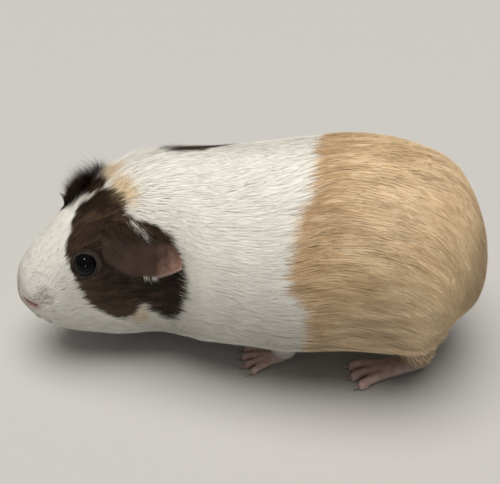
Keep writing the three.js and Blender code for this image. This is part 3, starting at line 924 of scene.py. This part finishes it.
# Eyeball: a ball about the eye's axis, the cornea bulging a little over the iris.
def makeEye(name, side):
    centre, axis, back, up = eyeFrames[side]
    polar = np.linspace(0.01, math.pi - 0.01, 60)[:, None]
    turn = np.linspace(0, 2 * math.pi, 72, endpoint=False)[None]
    radius = eye["radius"] * (1 + eye["bulge"] * np.exp(-((polar / eye["bulgeWide"]) ** 4))) + 0 * turn
    ahead = np.cos(polar)[..., None] * axis
    out = np.sin(polar)[..., None] * (back * np.cos(turn)[..., None] + up * np.sin(turn)[..., None])
    flat, quads, caps = closedGrid(centre + radius[..., None] * (ahead + out), side > 0)
    values = {}
    for key, a, whole in (("polar", polar, math.pi / 2), ("turn", turn, 2 * math.pi)):
        values[key] = np.append(np.broadcast_to(a, radius.shape).ravel(), [a.min(), a.max()]) / whole
    piece = makePiece(name, flat, [quads, caps], [eyeMaterial], pointValues=values)
    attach(piece, "root")
    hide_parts(name)
    return piece


eyeMaterial = eyeFinish()
for eyeName, eyeSide in (("eye_left", -1), ("eye_right", 1)):
    makeEye(eyeName, eyeSide)
print("eyes ready")


# A number from 0 to 1 for each pair of whole numbers: the fraction of a large sine.
def scramble(i, j, salt):
    return np.modf(np.abs(np.sin(i * 127.1 + j * 311.7 + salt * 74.7) * 43758.5453))[0]


# Smooth wander from -1 to 1 over the body: three crossed sines.
def wander(u, degrees, salt):
    a = degrees / 57.3
    return (np.sin(1.7 * u + 2.3 * np.sin(a + salt) + salt) + np.sin(2.9 * u - 1.9 * np.cos(2 * a + salt))
            + np.sin(0.9 * u + 3.1 * np.sin(2 * a) + 2 * salt)) / 3


# Roots spread evenly by area: cells of the surface, each holding its area times the density, picked at
# even steps.
def scatter(low, high, density, rows=420, columns=180):
    u = (np.arange(rows) + 0.5) / rows * (high - low) + low
    degrees = (np.arange(columns) + 0.5) / columns * 360 - 180
    u, degrees = (a.ravel() for a in np.meshgrid(u, degrees, indexing="ij"))
    stepU, stepDegrees = (high - low) / rows, 360 / columns
    along = outline(u + stepU / 2, degrees) - outline(u - stepU / 2, degrees)
    around = outline(u, degrees + stepDegrees / 2) - outline(u, degrees - stepDegrees / 2)
    total = np.cumsum(np.linalg.norm(np.cross(along, around), axis=-1) * density(u, degrees))
    picks = np.searchsorted(total, np.arange(int(total[-1])) + chance.random(int(total[-1])))
    picks = np.minimum(picks, len(u) - 1)
    return (u[picks] + (chance.random(len(picks)) - 0.5) * stepU,
            degrees[picks] + (chance.random(len(picks)) - 0.5) * stepDegrees)


# Length of the outline along one section and round one degree.
def spans(u, degrees):
    along = np.linalg.norm(outline(u + 0.05, degrees) - outline(u - 0.05, degrees), axis=-1) / 0.1
    around = np.linalg.norm(outline(u, degrees + 1) - outline(u, degrees - 1), axis=-1) / 2
    return np.maximum(along, 2), np.maximum(around, 0.02)


# Where the coat leans off the line of the back: degrees toward the belly, or toward the back if below 0,
# then the section and the degrees of each place and its spread in both.
leans = {
    "side": (
        (34, 5.6, 36, 0.7, 14), (-10, 3.2, 30, 0.8, 20), (20, 7.4, 46, 0.5, 18), (-9, 8.2, 15, 0.9, 18),
    ),
    "farTuft": (-40, 4.4, 22, 0.5, 18),
}


# The lean of the coat in degrees: its places, and wider stretches down the flank and down the rump's end.
def leanOf(u, degrees):
    side = np.abs(degrees)
    lean = sum(turn * bell(u, side, *place) for turn, *place in leans["side"])
    lean = lean + leans["farTuft"][0] * bell(u, degrees, *leans["farTuft"][1:])
    lean = lean + 5 * ease(20, 60, side) * ease(6, 7.5, u) * (1 - ease(9, 10, u))
    lean = lean - 14 * hump(u - 9.2, 0.65) * ease(0, 12, side) + 9 * hump(u - 8.4, 0.8) * ease(40, 75, side)
    lean = lean + (12 * ease(9.8, 10.9, u) + 8 * ease(11.0, 12.3, u)) * ease(4, 24, side)
    return lean + (26 * ease(11.6, 13.0, u) + 20 * ease(13.5, 15.2, u)) * ease(12, 60, side)


# How far the coat stands off the body, 0 lying to 1 upright: a tousled crown, the tuft before the far
# ear, the nape behind it, and a skirt low on the flanks.
def standOf(u, degrees):
    side = np.abs(degrees)
    crown = 0.12 * bell(u, degrees, 5.6, 0, 0.7, 30)
    farTuft = 0.85 * np.exp(-(((u - 4.64) / 0.7) ** 6) - ((degrees - 24) / 20) ** 2)
    nape = 0.38 * bell(u, degrees, 6.1, 36, 0.9, 19)
    skirt = 0.08 * ease(95, 115, side) * ease(2, 4, u) + 0.2 * bell(u, side, 12.4, 116, 1.0, 14)
    return np.clip(crown + farTuft + nape + skirt, 0, coat["standMost"])


# Centre line of each tuft: from the skin, back along its lean, gathering toward its lock's own line and
# rising to its layer.
def combedPath(u, degrees, length, layer):
    row = np.floor(u / coat["lockLong"] + 0.5 * scramble(np.floor(degrees / 9), 3, 1))
    column = np.floor(degrees / coat["lockWide"] + 0.5 * (row % 2))
    luck = scramble(row, column, 2)
    middle = (column + 0.5 - 0.5 * (row % 2) + (luck - 0.5) * 0.5) * coat["lockWide"]
    stand = np.clip(standOf(u, degrees) * (0.7 + 0.6 * luck), 0, 0.9)
    lockTurn = (scramble(row, column, 5) - 0.5) * 2 * coat["lockTurn"]
    turn = leanOf(u, degrees) * np.sign(degrees) + wander(u, degrees, 1.0) * coat["wander"] + lockTurn
    along, around = spans(u, degrees)
    s = np.array(coat["steps"])[None]
    a = np.radians(turn + (chance.random(len(u)) - 0.5) * coat["strayTurn"])[:, None]
    ahead = length[:, None] * s * (1 - 1.05 * stand[:, None] * s)
    curl = 1 + (chance.random(len(u)) - 0.5)[:, None] * 0.5 * s
    us = np.clip(u[:, None] + ahead * np.cos(a) / along[:, None], 0.04, 15.95)
    turned = degrees[:, None] + ahead * np.sin(a) * curl / around[:, None]
    turned = turned + (middle - degrees)[:, None] * coat["gather"] * s
    depth = coatDepth(us, turned)
    rise = depth * (layer[:, None] * (1 - (1 - s) ** coat["rise"]) - 0.12 * (1 - s))
    rise = rise + (length * stand)[:, None] * 0.75 * s**1.2
    normal = outward(us, turned)
    path = outline(us, turned) + normal * (relief(us, turned) * (1 - 0.5 * s) - depth + rise)[..., None]
    return path, normal, us, turned, 0.55 * luck + 0.45 * chance.random(len(u))


# Hair parts round the eyes: points nearer the eye's axis than its clearance are moved straight out to it.
def clearEyes(path):
    for centre, axis, _, _ in eyeFrames.values():
        off = path - centre
        high = off @ axis
        flat = off - high[..., None] * axis
        away = np.linalg.norm(flat, axis=-1, keepdims=True)
        near = (np.linalg.norm(off, axis=-1, keepdims=True) < eye["reach"]) & (high[..., None] > -2)
        path = path + np.where(near, flat / np.maximum(away, 0.1) * np.maximum(eye["clear"] - away, 0), 0)
    return path


# Roof-shaped tufts along their paths: at each step a left foot, a ridge and a right foot, then one point
# at the tip.
def tuftPoints(path, up, width):
    ahead = unit(np.gradient(path, axis=1), 1e-6)
    side = unit(np.cross(ahead, up), 1e-6)
    top = np.cross(side, ahead)
    size = width[:, None, None] * np.array(coat["taper"])[None, :, None]
    base, side, top = path[:, :2], side[:, :2] * size / 2, top[:, :2] * size * coat["roof"]
    rings = np.stack([base - side, base + top, base + side], 2).reshape(len(path), 6, 3)
    return np.concatenate([rings, path[:, 2:]], 1)


# Faces of one tuft and its patch of the bake map: along by step, across by side, every face with some width.
tuftQuads = np.array([[c, (c + 1) % 3, (c + 1) % 3 + 3, c + 3] for c in range(3)])
tuftTris = np.array([[3, 4, 6], [4, 5, 6], [5, 3, 6], [0, 2, 1]])
quadMap = np.array([[(0.1, c / 3), (0.1, (c + 1) / 3), (0.5, (c + 1) / 3), (0.5, c / 3)] for c in range(3)])
tipMap = [[(0.5, c / 3), (0.5, (c + 1) / 3), (1.0, (c + 0.5) / 3)] for c in range(3)]
triMap = np.array(tipMap + [[(0, 0), (0, 1), (0.1, 0.5)]])


# Tufts into one piece: seven points each, with faces, bake map and attributes laid out tuft by tuft.
def makeTufts(name, path, up, width, place, shade, rootMap, slot):
    count = len(path)
    points = tuftPoints(path, up, width).reshape(-1, 3)
    shift = (np.arange(count) * 7)[:, None, None]
    faces = [(tuftQuads[None] + shift).reshape(-1, 4), (tuftTris[None] + shift).reshape(-1, 3)]
    patch = (rootMap * (1 - coat["mapPatch"] * 1.1))[:, None, None]
    bake = np.concatenate([(patch + quadMap[None] * coat["mapPatch"]).reshape(-1, 2),
                           (patch + triMap[None] * coat["mapPatch"]).reshape(-1, 2)])
    along = np.tile(np.append(np.repeat(coat["steps"][:2], 3), 1.0), count)
    across = np.tile(np.append(np.tile([0.0, 0.5, 1.0], 2), 0.5), count)
    place = np.broadcast_to(place.reshape(count, -1, 3), (count, 3, 3))
    place = np.repeat(place, (3, 3, 1), 1).reshape(-1, 3)
    values = {"place": place, "shade": np.repeat(shade, 7), "along": along, "across": across}
    piece = makePiece(name, points, faces, [coatMaterial], pointValues=values, maps={"OFBake": bake})
    ends = np.empty(len(piece.data.edges) * 2, np.int32)
    piece.data.edges.foreach_get("vertices", ends)
    ends = ends.reshape(-1, 2) % 7
    # sharp where the roof meets its base
    foot = [(((ends % 3 == k) & (ends < 6)) | (ends == 6)).all(1) for k in (0, 2)]
    sharp = piece.data.attributes.new("sharp_edge", "BOOLEAN", "EDGE")
    sharp.data.foreach_set("value", foot[0] | foot[1])
    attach(piece, "root")
    return piece


# Density of the tufts: by section, thinner under the belly, denser where they stand, none on the eyes, in
# the nostrils or at the mouth.
def coatDensity(u, degrees):
    side = np.abs(degrees)
    density = np.interp(u, coat["at"], coat["density"]) * (1 - 0.45 * ease(125, 160, side) * ease(3, 6, u))
    density = density * (1 + 1.2 * (standOf(u, degrees) > coat["standDense"]))
    points = skinPoint(u, degrees)
    density = density * (1 - np.minimum(1.3 * hump(slitAway(points), 1.3), 1))
    parted = ease(nose["cornerDegrees"] - 4, nose["cornerDegrees"] + 8, side)
    density = density * (1 - 0.95 * (hump(u - mouthAt(side), 0.09) * parted))
    for centre, axis, _, _ in eyeFrames.values():
        off = points - centre
        away = np.linalg.norm(off - (off @ axis)[..., None] * axis, axis=-1)
        density = density * ((away > eye["clear"] - 0.3) | (np.linalg.norm(off, axis=-1) > eye["reach"]))
    return density


# The whole coat, sorted from nose to rump and cut into pieces of equal count. A hair's length comes by
# section and by chance, shorter before the far tuft and at the rump's end, longer where it stands; its
# rank is its layer, low to high.
def makeCoat():
    u, degrees = scatter(0.06, 15.9, coatDensity)
    order = np.argsort(u)
    u, degrees = u[order], degrees[order]
    length = np.interp(u, coat["at"], coat["length"]) * (0.75 + 0.5 * chance.random(len(u)))
    length = length * (1 - 0.5 * bell(u, degrees, 3.95, 28, 0.3, 26)) * (1 - 0.45 * ease(14.4, 15.9, u))
    length = length * (1 + (0.2 + 1.1 * chance.random(len(u))) * standOf(u, degrees))
    rank = chance.random(len(u))
    wide = coat["wideLow"] + (coat["wideHigh"] - coat["wideLow"]) * rank
    width = np.interp(u, coat["at"], coat["width"]) * wide
    layer = coat["low"] + (1 - coat["low"]) * rank + 0.2 * (rank > 1 - coat["flyaway"])
    path, up, us, turned, shade = combedPath(u, degrees, length, layer)
    path = clearEyes(path)
    own, seen = coat["own"], np.array(coat["seen"])
    where = np.stack([us, turned / marks["turn"]], -1)
    where = where * own + np.einsum("nsk,s->nk", where, seen)[:, None] * (1 - own)
    bare = np.broadcast_to(bareness(path[:, 1])[:, None, None], where[..., :1].shape)
    place = np.concatenate([where, bare], -1)
    pieces = math.ceil(len(u) / coat["pieceMost"])
    for index, picks in enumerate(np.array_split(np.arange(len(u)), pieces)):
        low, high = u[picks[0]], u[picks[-1]]
        rootMap = np.stack([(u[picks] - low) / (high - low), np.clip(degrees[picks] / 360 + 0.5, 0, 1)], -1)
        slot = "white_coat" if high < marks["saddle"] + 0.5 else "gold_coat"
        parts = (values[picks] for values in (path, up, width, place, shade))
        makeTufts(f"coat_{index + 1}", *parts, rootMap, slot)
    print("coat ready,", len(u), "tufts in", pieces, "pieces")


makeCoat()


# Hair of the ears in groups: how many, how long in millimetres, and the least and most of what chance
# draws for each hair: its place across and down the ear, share of the length, heading, bend, lift at the
# tip, width and shade. Then the shares of white and of pale hairs, the latter also for the ear's rear.
earHair = {
    "locks": {
        "count": 2100, "long": 9.0, "across": (-1.05, 0.8), "down": (-0.5, 0.12), "length": (0.6, 1.2),
        "heading": (0.8, 1.25), "bend": (0.3, 0.8), "lift": (0.5, 2.2), "width": (0.16, 0.28),
        "shade": (0, 0.85),
    },
    "whiteLock": {
        "count": 150, "long": 17.0, "across": (-0.42, -0.16), "down": (-0.52, -0.44), "length": (0.6, 1.05),
        "heading": (1.3, 1.4), "bend": (1.02, 1.12), "lift": (1.5, 3.2), "width": (0.1, 0.2), "white": 0.75,
        "shade": (0.2, 1),
    },
    "brush": {
        "count": 700, "long": 4.2, "across": (-1.0, -0.62), "down": (-0.1, 0.6), "length": (0.6, 1.2),
        "heading": (0.5, 1.2), "bend": (0, 0.3), "lift": (0.3, 1.0), "width": (0.06, 0.09), "shade": (0.2, 1),
        "pale": (0.6, 0.0),
    },
    "fuzz": {
        "count": 1500, "long": 2.2, "across": (-1.0, 0.98), "down": (0.1, 0.99), "length": (0.6, 1.2),
        "heading": (0.2, 0.9), "lift": (0.05, 0.35), "width": (0.05, 0.08), "shade": (0.3, 1),
        "pale": (0.3, 0.7),
    },
    "fringe": {
        "count": 76, "long": 3.6, "clumps": (-0.06, 0.26), "across": (-0.1, 0.1), "down": (0.93, 0.99),
        "length": (0.4, 1.15), "heading": (-0.1, 0.6), "lift": (-0.9, 0.5), "width": (0.05, 0.09),
        "white": 0.7, "shade": (0.2, 1),
    },
}
# Places whose colour ear hairs take: a white one, and a brown one on either side; how bare a pale hair
# counts.
earColour = {
    "white": (8.0, 0.4, 0.0), -1: (4.7, -1.5, 0.0), 1: (4.7, 1.4, 0.0), "pale": -1.0, "rearFrom": 0.45,
}
# Hair of the legs and feet; the colour is taken at a section and so many turns round, less by a share up
# the leg.
legHair = {
    "each": 950, "length": 7.5, "width": 0.3, "footEach": 420, "footLength": 2.6, "footWidth": 0.14,
    "foreColour": (8.6, 2.0), "hindColour": (12.6, 4.4, 1.2),
}


# Tufts on an ear: from (across, down) on its outer face, heading by an angle from straight down, rising
# by lift at the tip.
def earTufts(side, across, down, length, heading, bend, lift):
    def span(a, b):
        ends = (earPoint(side, across + k * a, down + k * b, 0) for k in (1, -1))
        return np.linalg.norm(np.subtract(*ends), axis=-1) / 0.1

    s = np.array(coat["steps"])[None]
    wide, high = span(0.05, 0), span(0, 0.05)
    turned = heading[:, None] - bend[:, None] * s
    a = across[:, None] + length[:, None] * s * np.sin(turned) / wide[:, None]
    d = down[:, None] + length[:, None] * s * np.cos(turned) / high[:, None]
    level = ears["thick"] * 0.35 + lift[:, None] * s
    along = earPoint(side, a + 0.02, d, level) - earPoint(side, a - 0.02, d, level)
    downward = earPoint(side, a, d + 0.02, level) - earPoint(side, a, d - 0.02, level)
    return earPoint(side, a, d, level), unit(np.cross(along, downward) * side)


# One group of an ear's hairs: each value drawn for all of them before the next.
def drawGroup(group):
    n = group["count"]

    def draw(key):
        low, high = group[key]
        return low + (high - low) * chance.random(n)

    middle = np.where(chance.random(n) < 0.5, *group["clumps"]) if "clumps" in group else 0
    across, down = middle + draw("across"), draw("down")
    length, heading = group["long"] * draw("length"), draw("heading")
    bend = draw("bend") if "bend" in group else np.zeros(n)
    lift, width = draw("lift"), draw("width")
    white = chance.random(n) < group["white"] if "white" in group else np.zeros(n, bool)
    shade, pale = draw("shade"), np.zeros(n)
    if "pale" in group:
        share, rearMore = group["pale"]
        rear = across > earColour["rearFrom"]
        pale = earColour["pale"] * (chance.random(n) < share + rearMore * rear)
    return across, down, length, heading, bend, lift, width, white, shade, pale


# An ear's hair: locks over its root with a white one among them, a brush at its front, fuzz over its face
# and a fringe along its lower rim.
def makeEarHair(name, side):
    groups = [drawGroup(group) for group in earHair.values()]
    across, down, length, heading, bend, lift, width, white, shade, pale = map(np.concatenate, zip(*groups))
    path, up = earTufts(side, across, down, length, heading, bend, lift)
    place = np.where(white[:, None], earColour["white"], earColour[side])
    place[:, 2] = np.where(white, 0, pale)
    rootMap = np.clip(np.stack([across / 2 + 0.5, down * 0.8 + 0.18], -1), 0, 1)
    makeTufts(name, path, up, width, place, shade, rootMap, "ear_skin")


# Tufts on a tube, lying toward its start: at t along and angle a round it, running back by their length.
def tubeTufts(shape, t, a, length, lift):
    s = np.array(coat["steps"])[None]
    size = np.linalg.norm(arcPoint(shape[0], 1.0) - arcPoint(shape[0], 0.0))
    ts = t[:, None] - length[:, None] * s / size
    point = tubePoint(*shape, np.clip(ts, 0.03, 0.97), np.broadcast_to(a[:, None], ts.shape))
    up = unit(point - arcPoint(shape[0], ts), 1e-6)
    return point + up * (lift[:, None] * (1 - (1 - s) ** 2) - 0.15)[..., None], up


# Fur down one leg to the ankle, and fine short hair on the top of its foot, running toward the toes.
def makeLegHair(name, foot, side):
    n, m = legHair["each"], legHair["footEach"]
    t, a = 0.2 + 0.8 * chance.random(n), 2 * math.pi * chance.random(n)
    length = legHair["length"] * foot["hair"] * (0.7 + 0.6 * chance.random(n))
    path, up = tubeTufts(legTube(foot, side), t, a, length, 0.6 + 2.0 * chance.random(n))
    arc, halves = palmTube(foot, side)
    tFoot, aFoot = 0.12 + 0.75 * chance.random(m), math.pi * (0.1 + 0.8 * chance.random(m))
    lengthFoot = legHair["footLength"] * (0.7 + 0.6 * chance.random(m))
    liftFoot = 0.2 + 0.3 * chance.random(m)
    pathFoot, upFoot = tubeTufts((arc[::-1], halves[::-1]), tFoot, 2 * math.pi - aFoot, lengthFoot, liftFoot)
    path, up = np.concatenate([path, pathFoot]), np.concatenate([up, upFoot])
    path[..., 2] = np.maximum(path[..., 2], 0.3)
    width = np.concatenate([np.full(n, legHair["width"]), np.full(m, legHair["footWidth"])])
    section, around = legHair["foreColour"]
    place = np.tile([section, side * around, 0.0], (n + m, 1))
    if foot is hindfoot:
        section, around, less = legHair["hindColour"]
        place[:n, 0], place[:n, 1] = section, side * (around - less * t)
    mapAlong, mapRound = np.concatenate([t * 0.8, 0.75 + tFoot * 0.25]), np.concatenate([a, aFoot])
    rootMap = np.stack([mapAlong, mapRound / 2 / math.pi], -1)
    makeTufts(name, path, up, width, place, chance.random(n + m), rootMap, "white_coat")


for partSide, sideName in ((-1, "left"), (1, "right")):
    makeEarHair(f"ear_hair_{sideName}", partSide)
    makeLegHair(f"foreleg_hair_{sideName}", forefoot, partSide)
    makeLegHair(f"hindleg_hair_{sideName}", hindfoot, partSide)
print("ear and leg hair ready")

# Whiskers: round tapering hairs swept back and out from the pads of the muzzle.
whiskers = {"each": 9, "length": (10.0, 20.0), "thick": 0.034, "rows": 14, "around": 5, "sweep": 0.75}


# A whisker's path: out of the skin along its heading, drawn back and down by the square of the way along.
def whiskerPath(u, degrees, length, rise):
    s = np.linspace(0, 1, whiskers["rows"])[:, None]
    back = unit(outline(u + 0.3, degrees) - outline(u - 0.3, degrees))
    sweep = (outward(u, degrees) + back) * whiskers["sweep"]
    heading = unit(sweep + np.array([0, 0, rise]))
    bow = (back * 0.16 - np.array([0, 0, 0.10])) * length * s**2
    return skinPoint(u, degrees) + heading * (length * s - 0.6) + bow


# A whisker's surface: rings across its path, thinning to a point.
def whiskerSurface(path, thick):
    ahead = unit(np.gradient(path, axis=0))
    side = unit(np.cross(ahead, [0, 0, 1.0]))
    up = np.cross(side, ahead)
    a = np.linspace(0, 2 * math.pi, whiskers["around"], endpoint=False)[None, :, None]
    radius = (thick * (1 - np.linspace(0, 1, len(path)) ** 1.5 * 0.85))[:, None, None]
    return path[:, None] + radius * (side[:, None] * np.cos(a) + up[:, None] * np.sin(a))


# Three rows of three whiskers on each side: those further back are longer, those lower down rise less.
def makeWhiskers():
    points, faces, count = [], [], 0
    low, high = whiskers["length"]
    for side in (-1, 1):
        for index in range(whiskers["each"]):
            row, column = index % 3, index // 3
            u = 1.55 + 0.26 * column + 0.1 * (chance.random() - 0.5)
            degrees = 74 + 14 * row + 6 * (chance.random() - 0.5)
            length = low + (high - low) * (0.75 * column / 4 + 0.25 * chance.random())
            path = whiskerPath(u, side * degrees, length, 0.22 - 0.18 * row)
            flat, quads, caps = closedGrid(whiskerSurface(path, whiskers["thick"]), True)
            points.append(flat)
            faces += [quads + count, caps + count]
            count += len(flat)
    along = np.append(np.repeat(np.linspace(0, 1, whiskers["rows"]), whiskers["around"]), [0, 1])
    piece = makePiece("whiskers", np.vstack(points), faces, [whiskerFinish()],
                      pointValues={"along": np.tile(along, len(points))})
    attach(piece, "root")


makeWhiskers()
print("whiskers ready")


# A claw: ovals along a drooping line beyond the toe, deeper than wide, drawn to a blunt point.
def makeClaw(name, foot, side, index):
    _, end, heading = toeLine(foot, side, index)
    s, around = np.linspace(0, 1, 16), claw["around"]
    z = foot["toeRadius"] * 0.8 * (1 - 0.1 * s) - claw["droop"] * s**2.2
    xy = end + heading * (claw["length"] * s - claw["root"])[:, None]
    path = np.concatenate([xy, z[:, None]], 1)
    across = np.array([-heading[1], heading[0], 0.0])
    a = np.linspace(0, 2 * math.pi, around, endpoint=False)[None, :, None]
    radius = (claw["radius"] * (1 - s**2.2 * claw["point"]))[:, None, None]
    oval = across * np.cos(a) * claw["narrow"] + np.array([0, 0, 1.0]) * np.sin(a)
    points = path[:, None] + radius * oval
    points[..., 2] = np.maximum(points[..., 2], 0.05)
    flat, quads, caps = closedGrid(points)
    values = {"along": np.append(np.repeat(s, around), [0, 1]),
              "turn": np.append(np.tile(np.arange(around) / around, len(s)), [0, 0])}
    piece = makePiece(name, flat, [quads, caps], [clawMaterial], pointValues=values)
    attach(piece, "root")
    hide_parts(name)


clawMaterial = clawFinish()
for footName, footShape in (("fore", forefoot), ("hind", hindfoot)):
    for partSide, sideName in ((-1, "left"), (1, "right")):
        for toe in range(footShape["toes"]):
            makeClaw(f"claw_{footName}_{sideName}_{toe + 1}", footShape, partSide, toe)
print("claws ready")

# Stage, light and camera: angles in degrees, places and sizes in metres, and the floor's half size in
# millimetres.
view = {"azimuth": 5.0, "elevation": 38.0, "distance": 0.43, "lens": 65.0, "aim": 0.056, "shift": -0.0006}
light = {
    "world": 0.15, "sky": (0.93, 0.96, 1.0), "backdrop": (0.6, 0.6, 0.59), "floor": (0.485, 0.475, 0.455),
    "floorHalf": 9e3, "aim": (0, 0, 0.05),
    "sun": 3.6, "sunPlace": (-0.07, -0.03, 0.99), "sunColour": (1.0, 0.975, 0.94), "sunWide": 50.0,
    "spark": 280.0, "sparkColour": (0.9, 0.95, 1.0),
    "sparks": (("spark", (-0.17, -0.2, 0.93), 0.11), ("sparkLow", (0.02, -0.8, 0.26), 0.06)),
}


# A plain floor, and a world that lights the animal evenly but shows the camera a backdrop of its own.
def makeStage():
    finish = Finish("floor", {"Roughness": 0.8, "Specular IOR Level": 0.2, "Base Color": light["floor"]})
    corners = np.array([[-1, -1, 0], [1, -1, 0], [1, 1, 0], [-1, 1, 0]]) * light["floorHalf"]
    ground = makePiece("floor", corners, [np.array([[0, 1, 2, 3]])], [finish.material])
    world = bpy.data.worlds.new("studio")
    bpy.context.scene.world = world
    world.use_nodes = True
    nodes, links = world.node_tree.nodes, world.node_tree.links
    nodes["Background"].inputs["Color"].default_value = (*light["sky"], 1.0)
    nodes["Background"].inputs["Strength"].default_value = light["world"]
    kinds = ("Background", "LightPath", "MixShader")
    backdrop, seen, either = (nodes.new(f"ShaderNode{kind}") for kind in kinds)
    backdrop.inputs["Color"].default_value = (*light["backdrop"], 1.0)
    links.new(seen.outputs["Is Camera Ray"], either.inputs["Fac"])
    links.new(nodes["Background"].outputs[0], either.inputs[1])
    links.new(backdrop.outputs[0], either.inputs[2])
    links.new(either.outputs[0], nodes["World Output"].inputs["Surface"])


# A lamp of the given kind, aimed at the animal; it either lights it or only glints in it.
def addLamp(name, kind, place, energy, colour, glint, **settings):
    lamp = bpy.data.lights.new(name, kind)
    lamp.energy, lamp.color = energy, colour
    for key, value in settings.items():
        setattr(lamp, key, value)
    holder = bpy.data.objects.new(name, lamp)
    holder.location = place
    holder.visible_glossy, holder.visible_diffuse = glint, not glint
    holder.rotation_euler = (Vector(light["aim"]) - Vector(place)).to_track_quat("-Z", "Y").to_euler()
    bpy.context.scene.collection.objects.link(holder)


# The camera stands back from the middle of the frame's box by its distance, along its azimuth and elevation.
def addCamera():
    a, e = math.radians(view["azimuth"]), math.radians(view["elevation"])
    back = Vector((math.sin(a) * math.cos(e), -math.cos(a) * math.cos(e), math.sin(e)))
    middle = (cadBox[0] + cadBox[1]) / 2
    lens = bpy.data.cameras.new("camera")
    lens.lens, lens.sensor_width, lens.clip_start = view["lens"], 36.0, 0.01
    holder = bpy.data.objects.new("camera", lens)
    holder.location = Vector((middle[0] + view["shift"], middle[1], view["aim"])) + back * view["distance"]
    holder.rotation_euler = (-back).to_track_quat("-Z", "Y").to_euler()
    bpy.context.scene.collection.objects.link(holder)
    bpy.context.scene.camera = holder


makeStage()
sunAngle = math.radians(light["sunWide"])
addLamp("key", "SUN", light["sunPlace"], light["sun"], light["sunColour"], False, angle=sunAngle)
for sparkName, sparkPlace, sparkSize in light["sparks"]:
    power = light["spark"] * sparkSize**2
    addLamp(sparkName, "AREA", sparkPlace, power, light["sparkColour"], True, shape="DISK", size=sparkSize)
addCamera()
bpy.context.scene.view_settings.view_transform = "Standard"
print("stage ready")
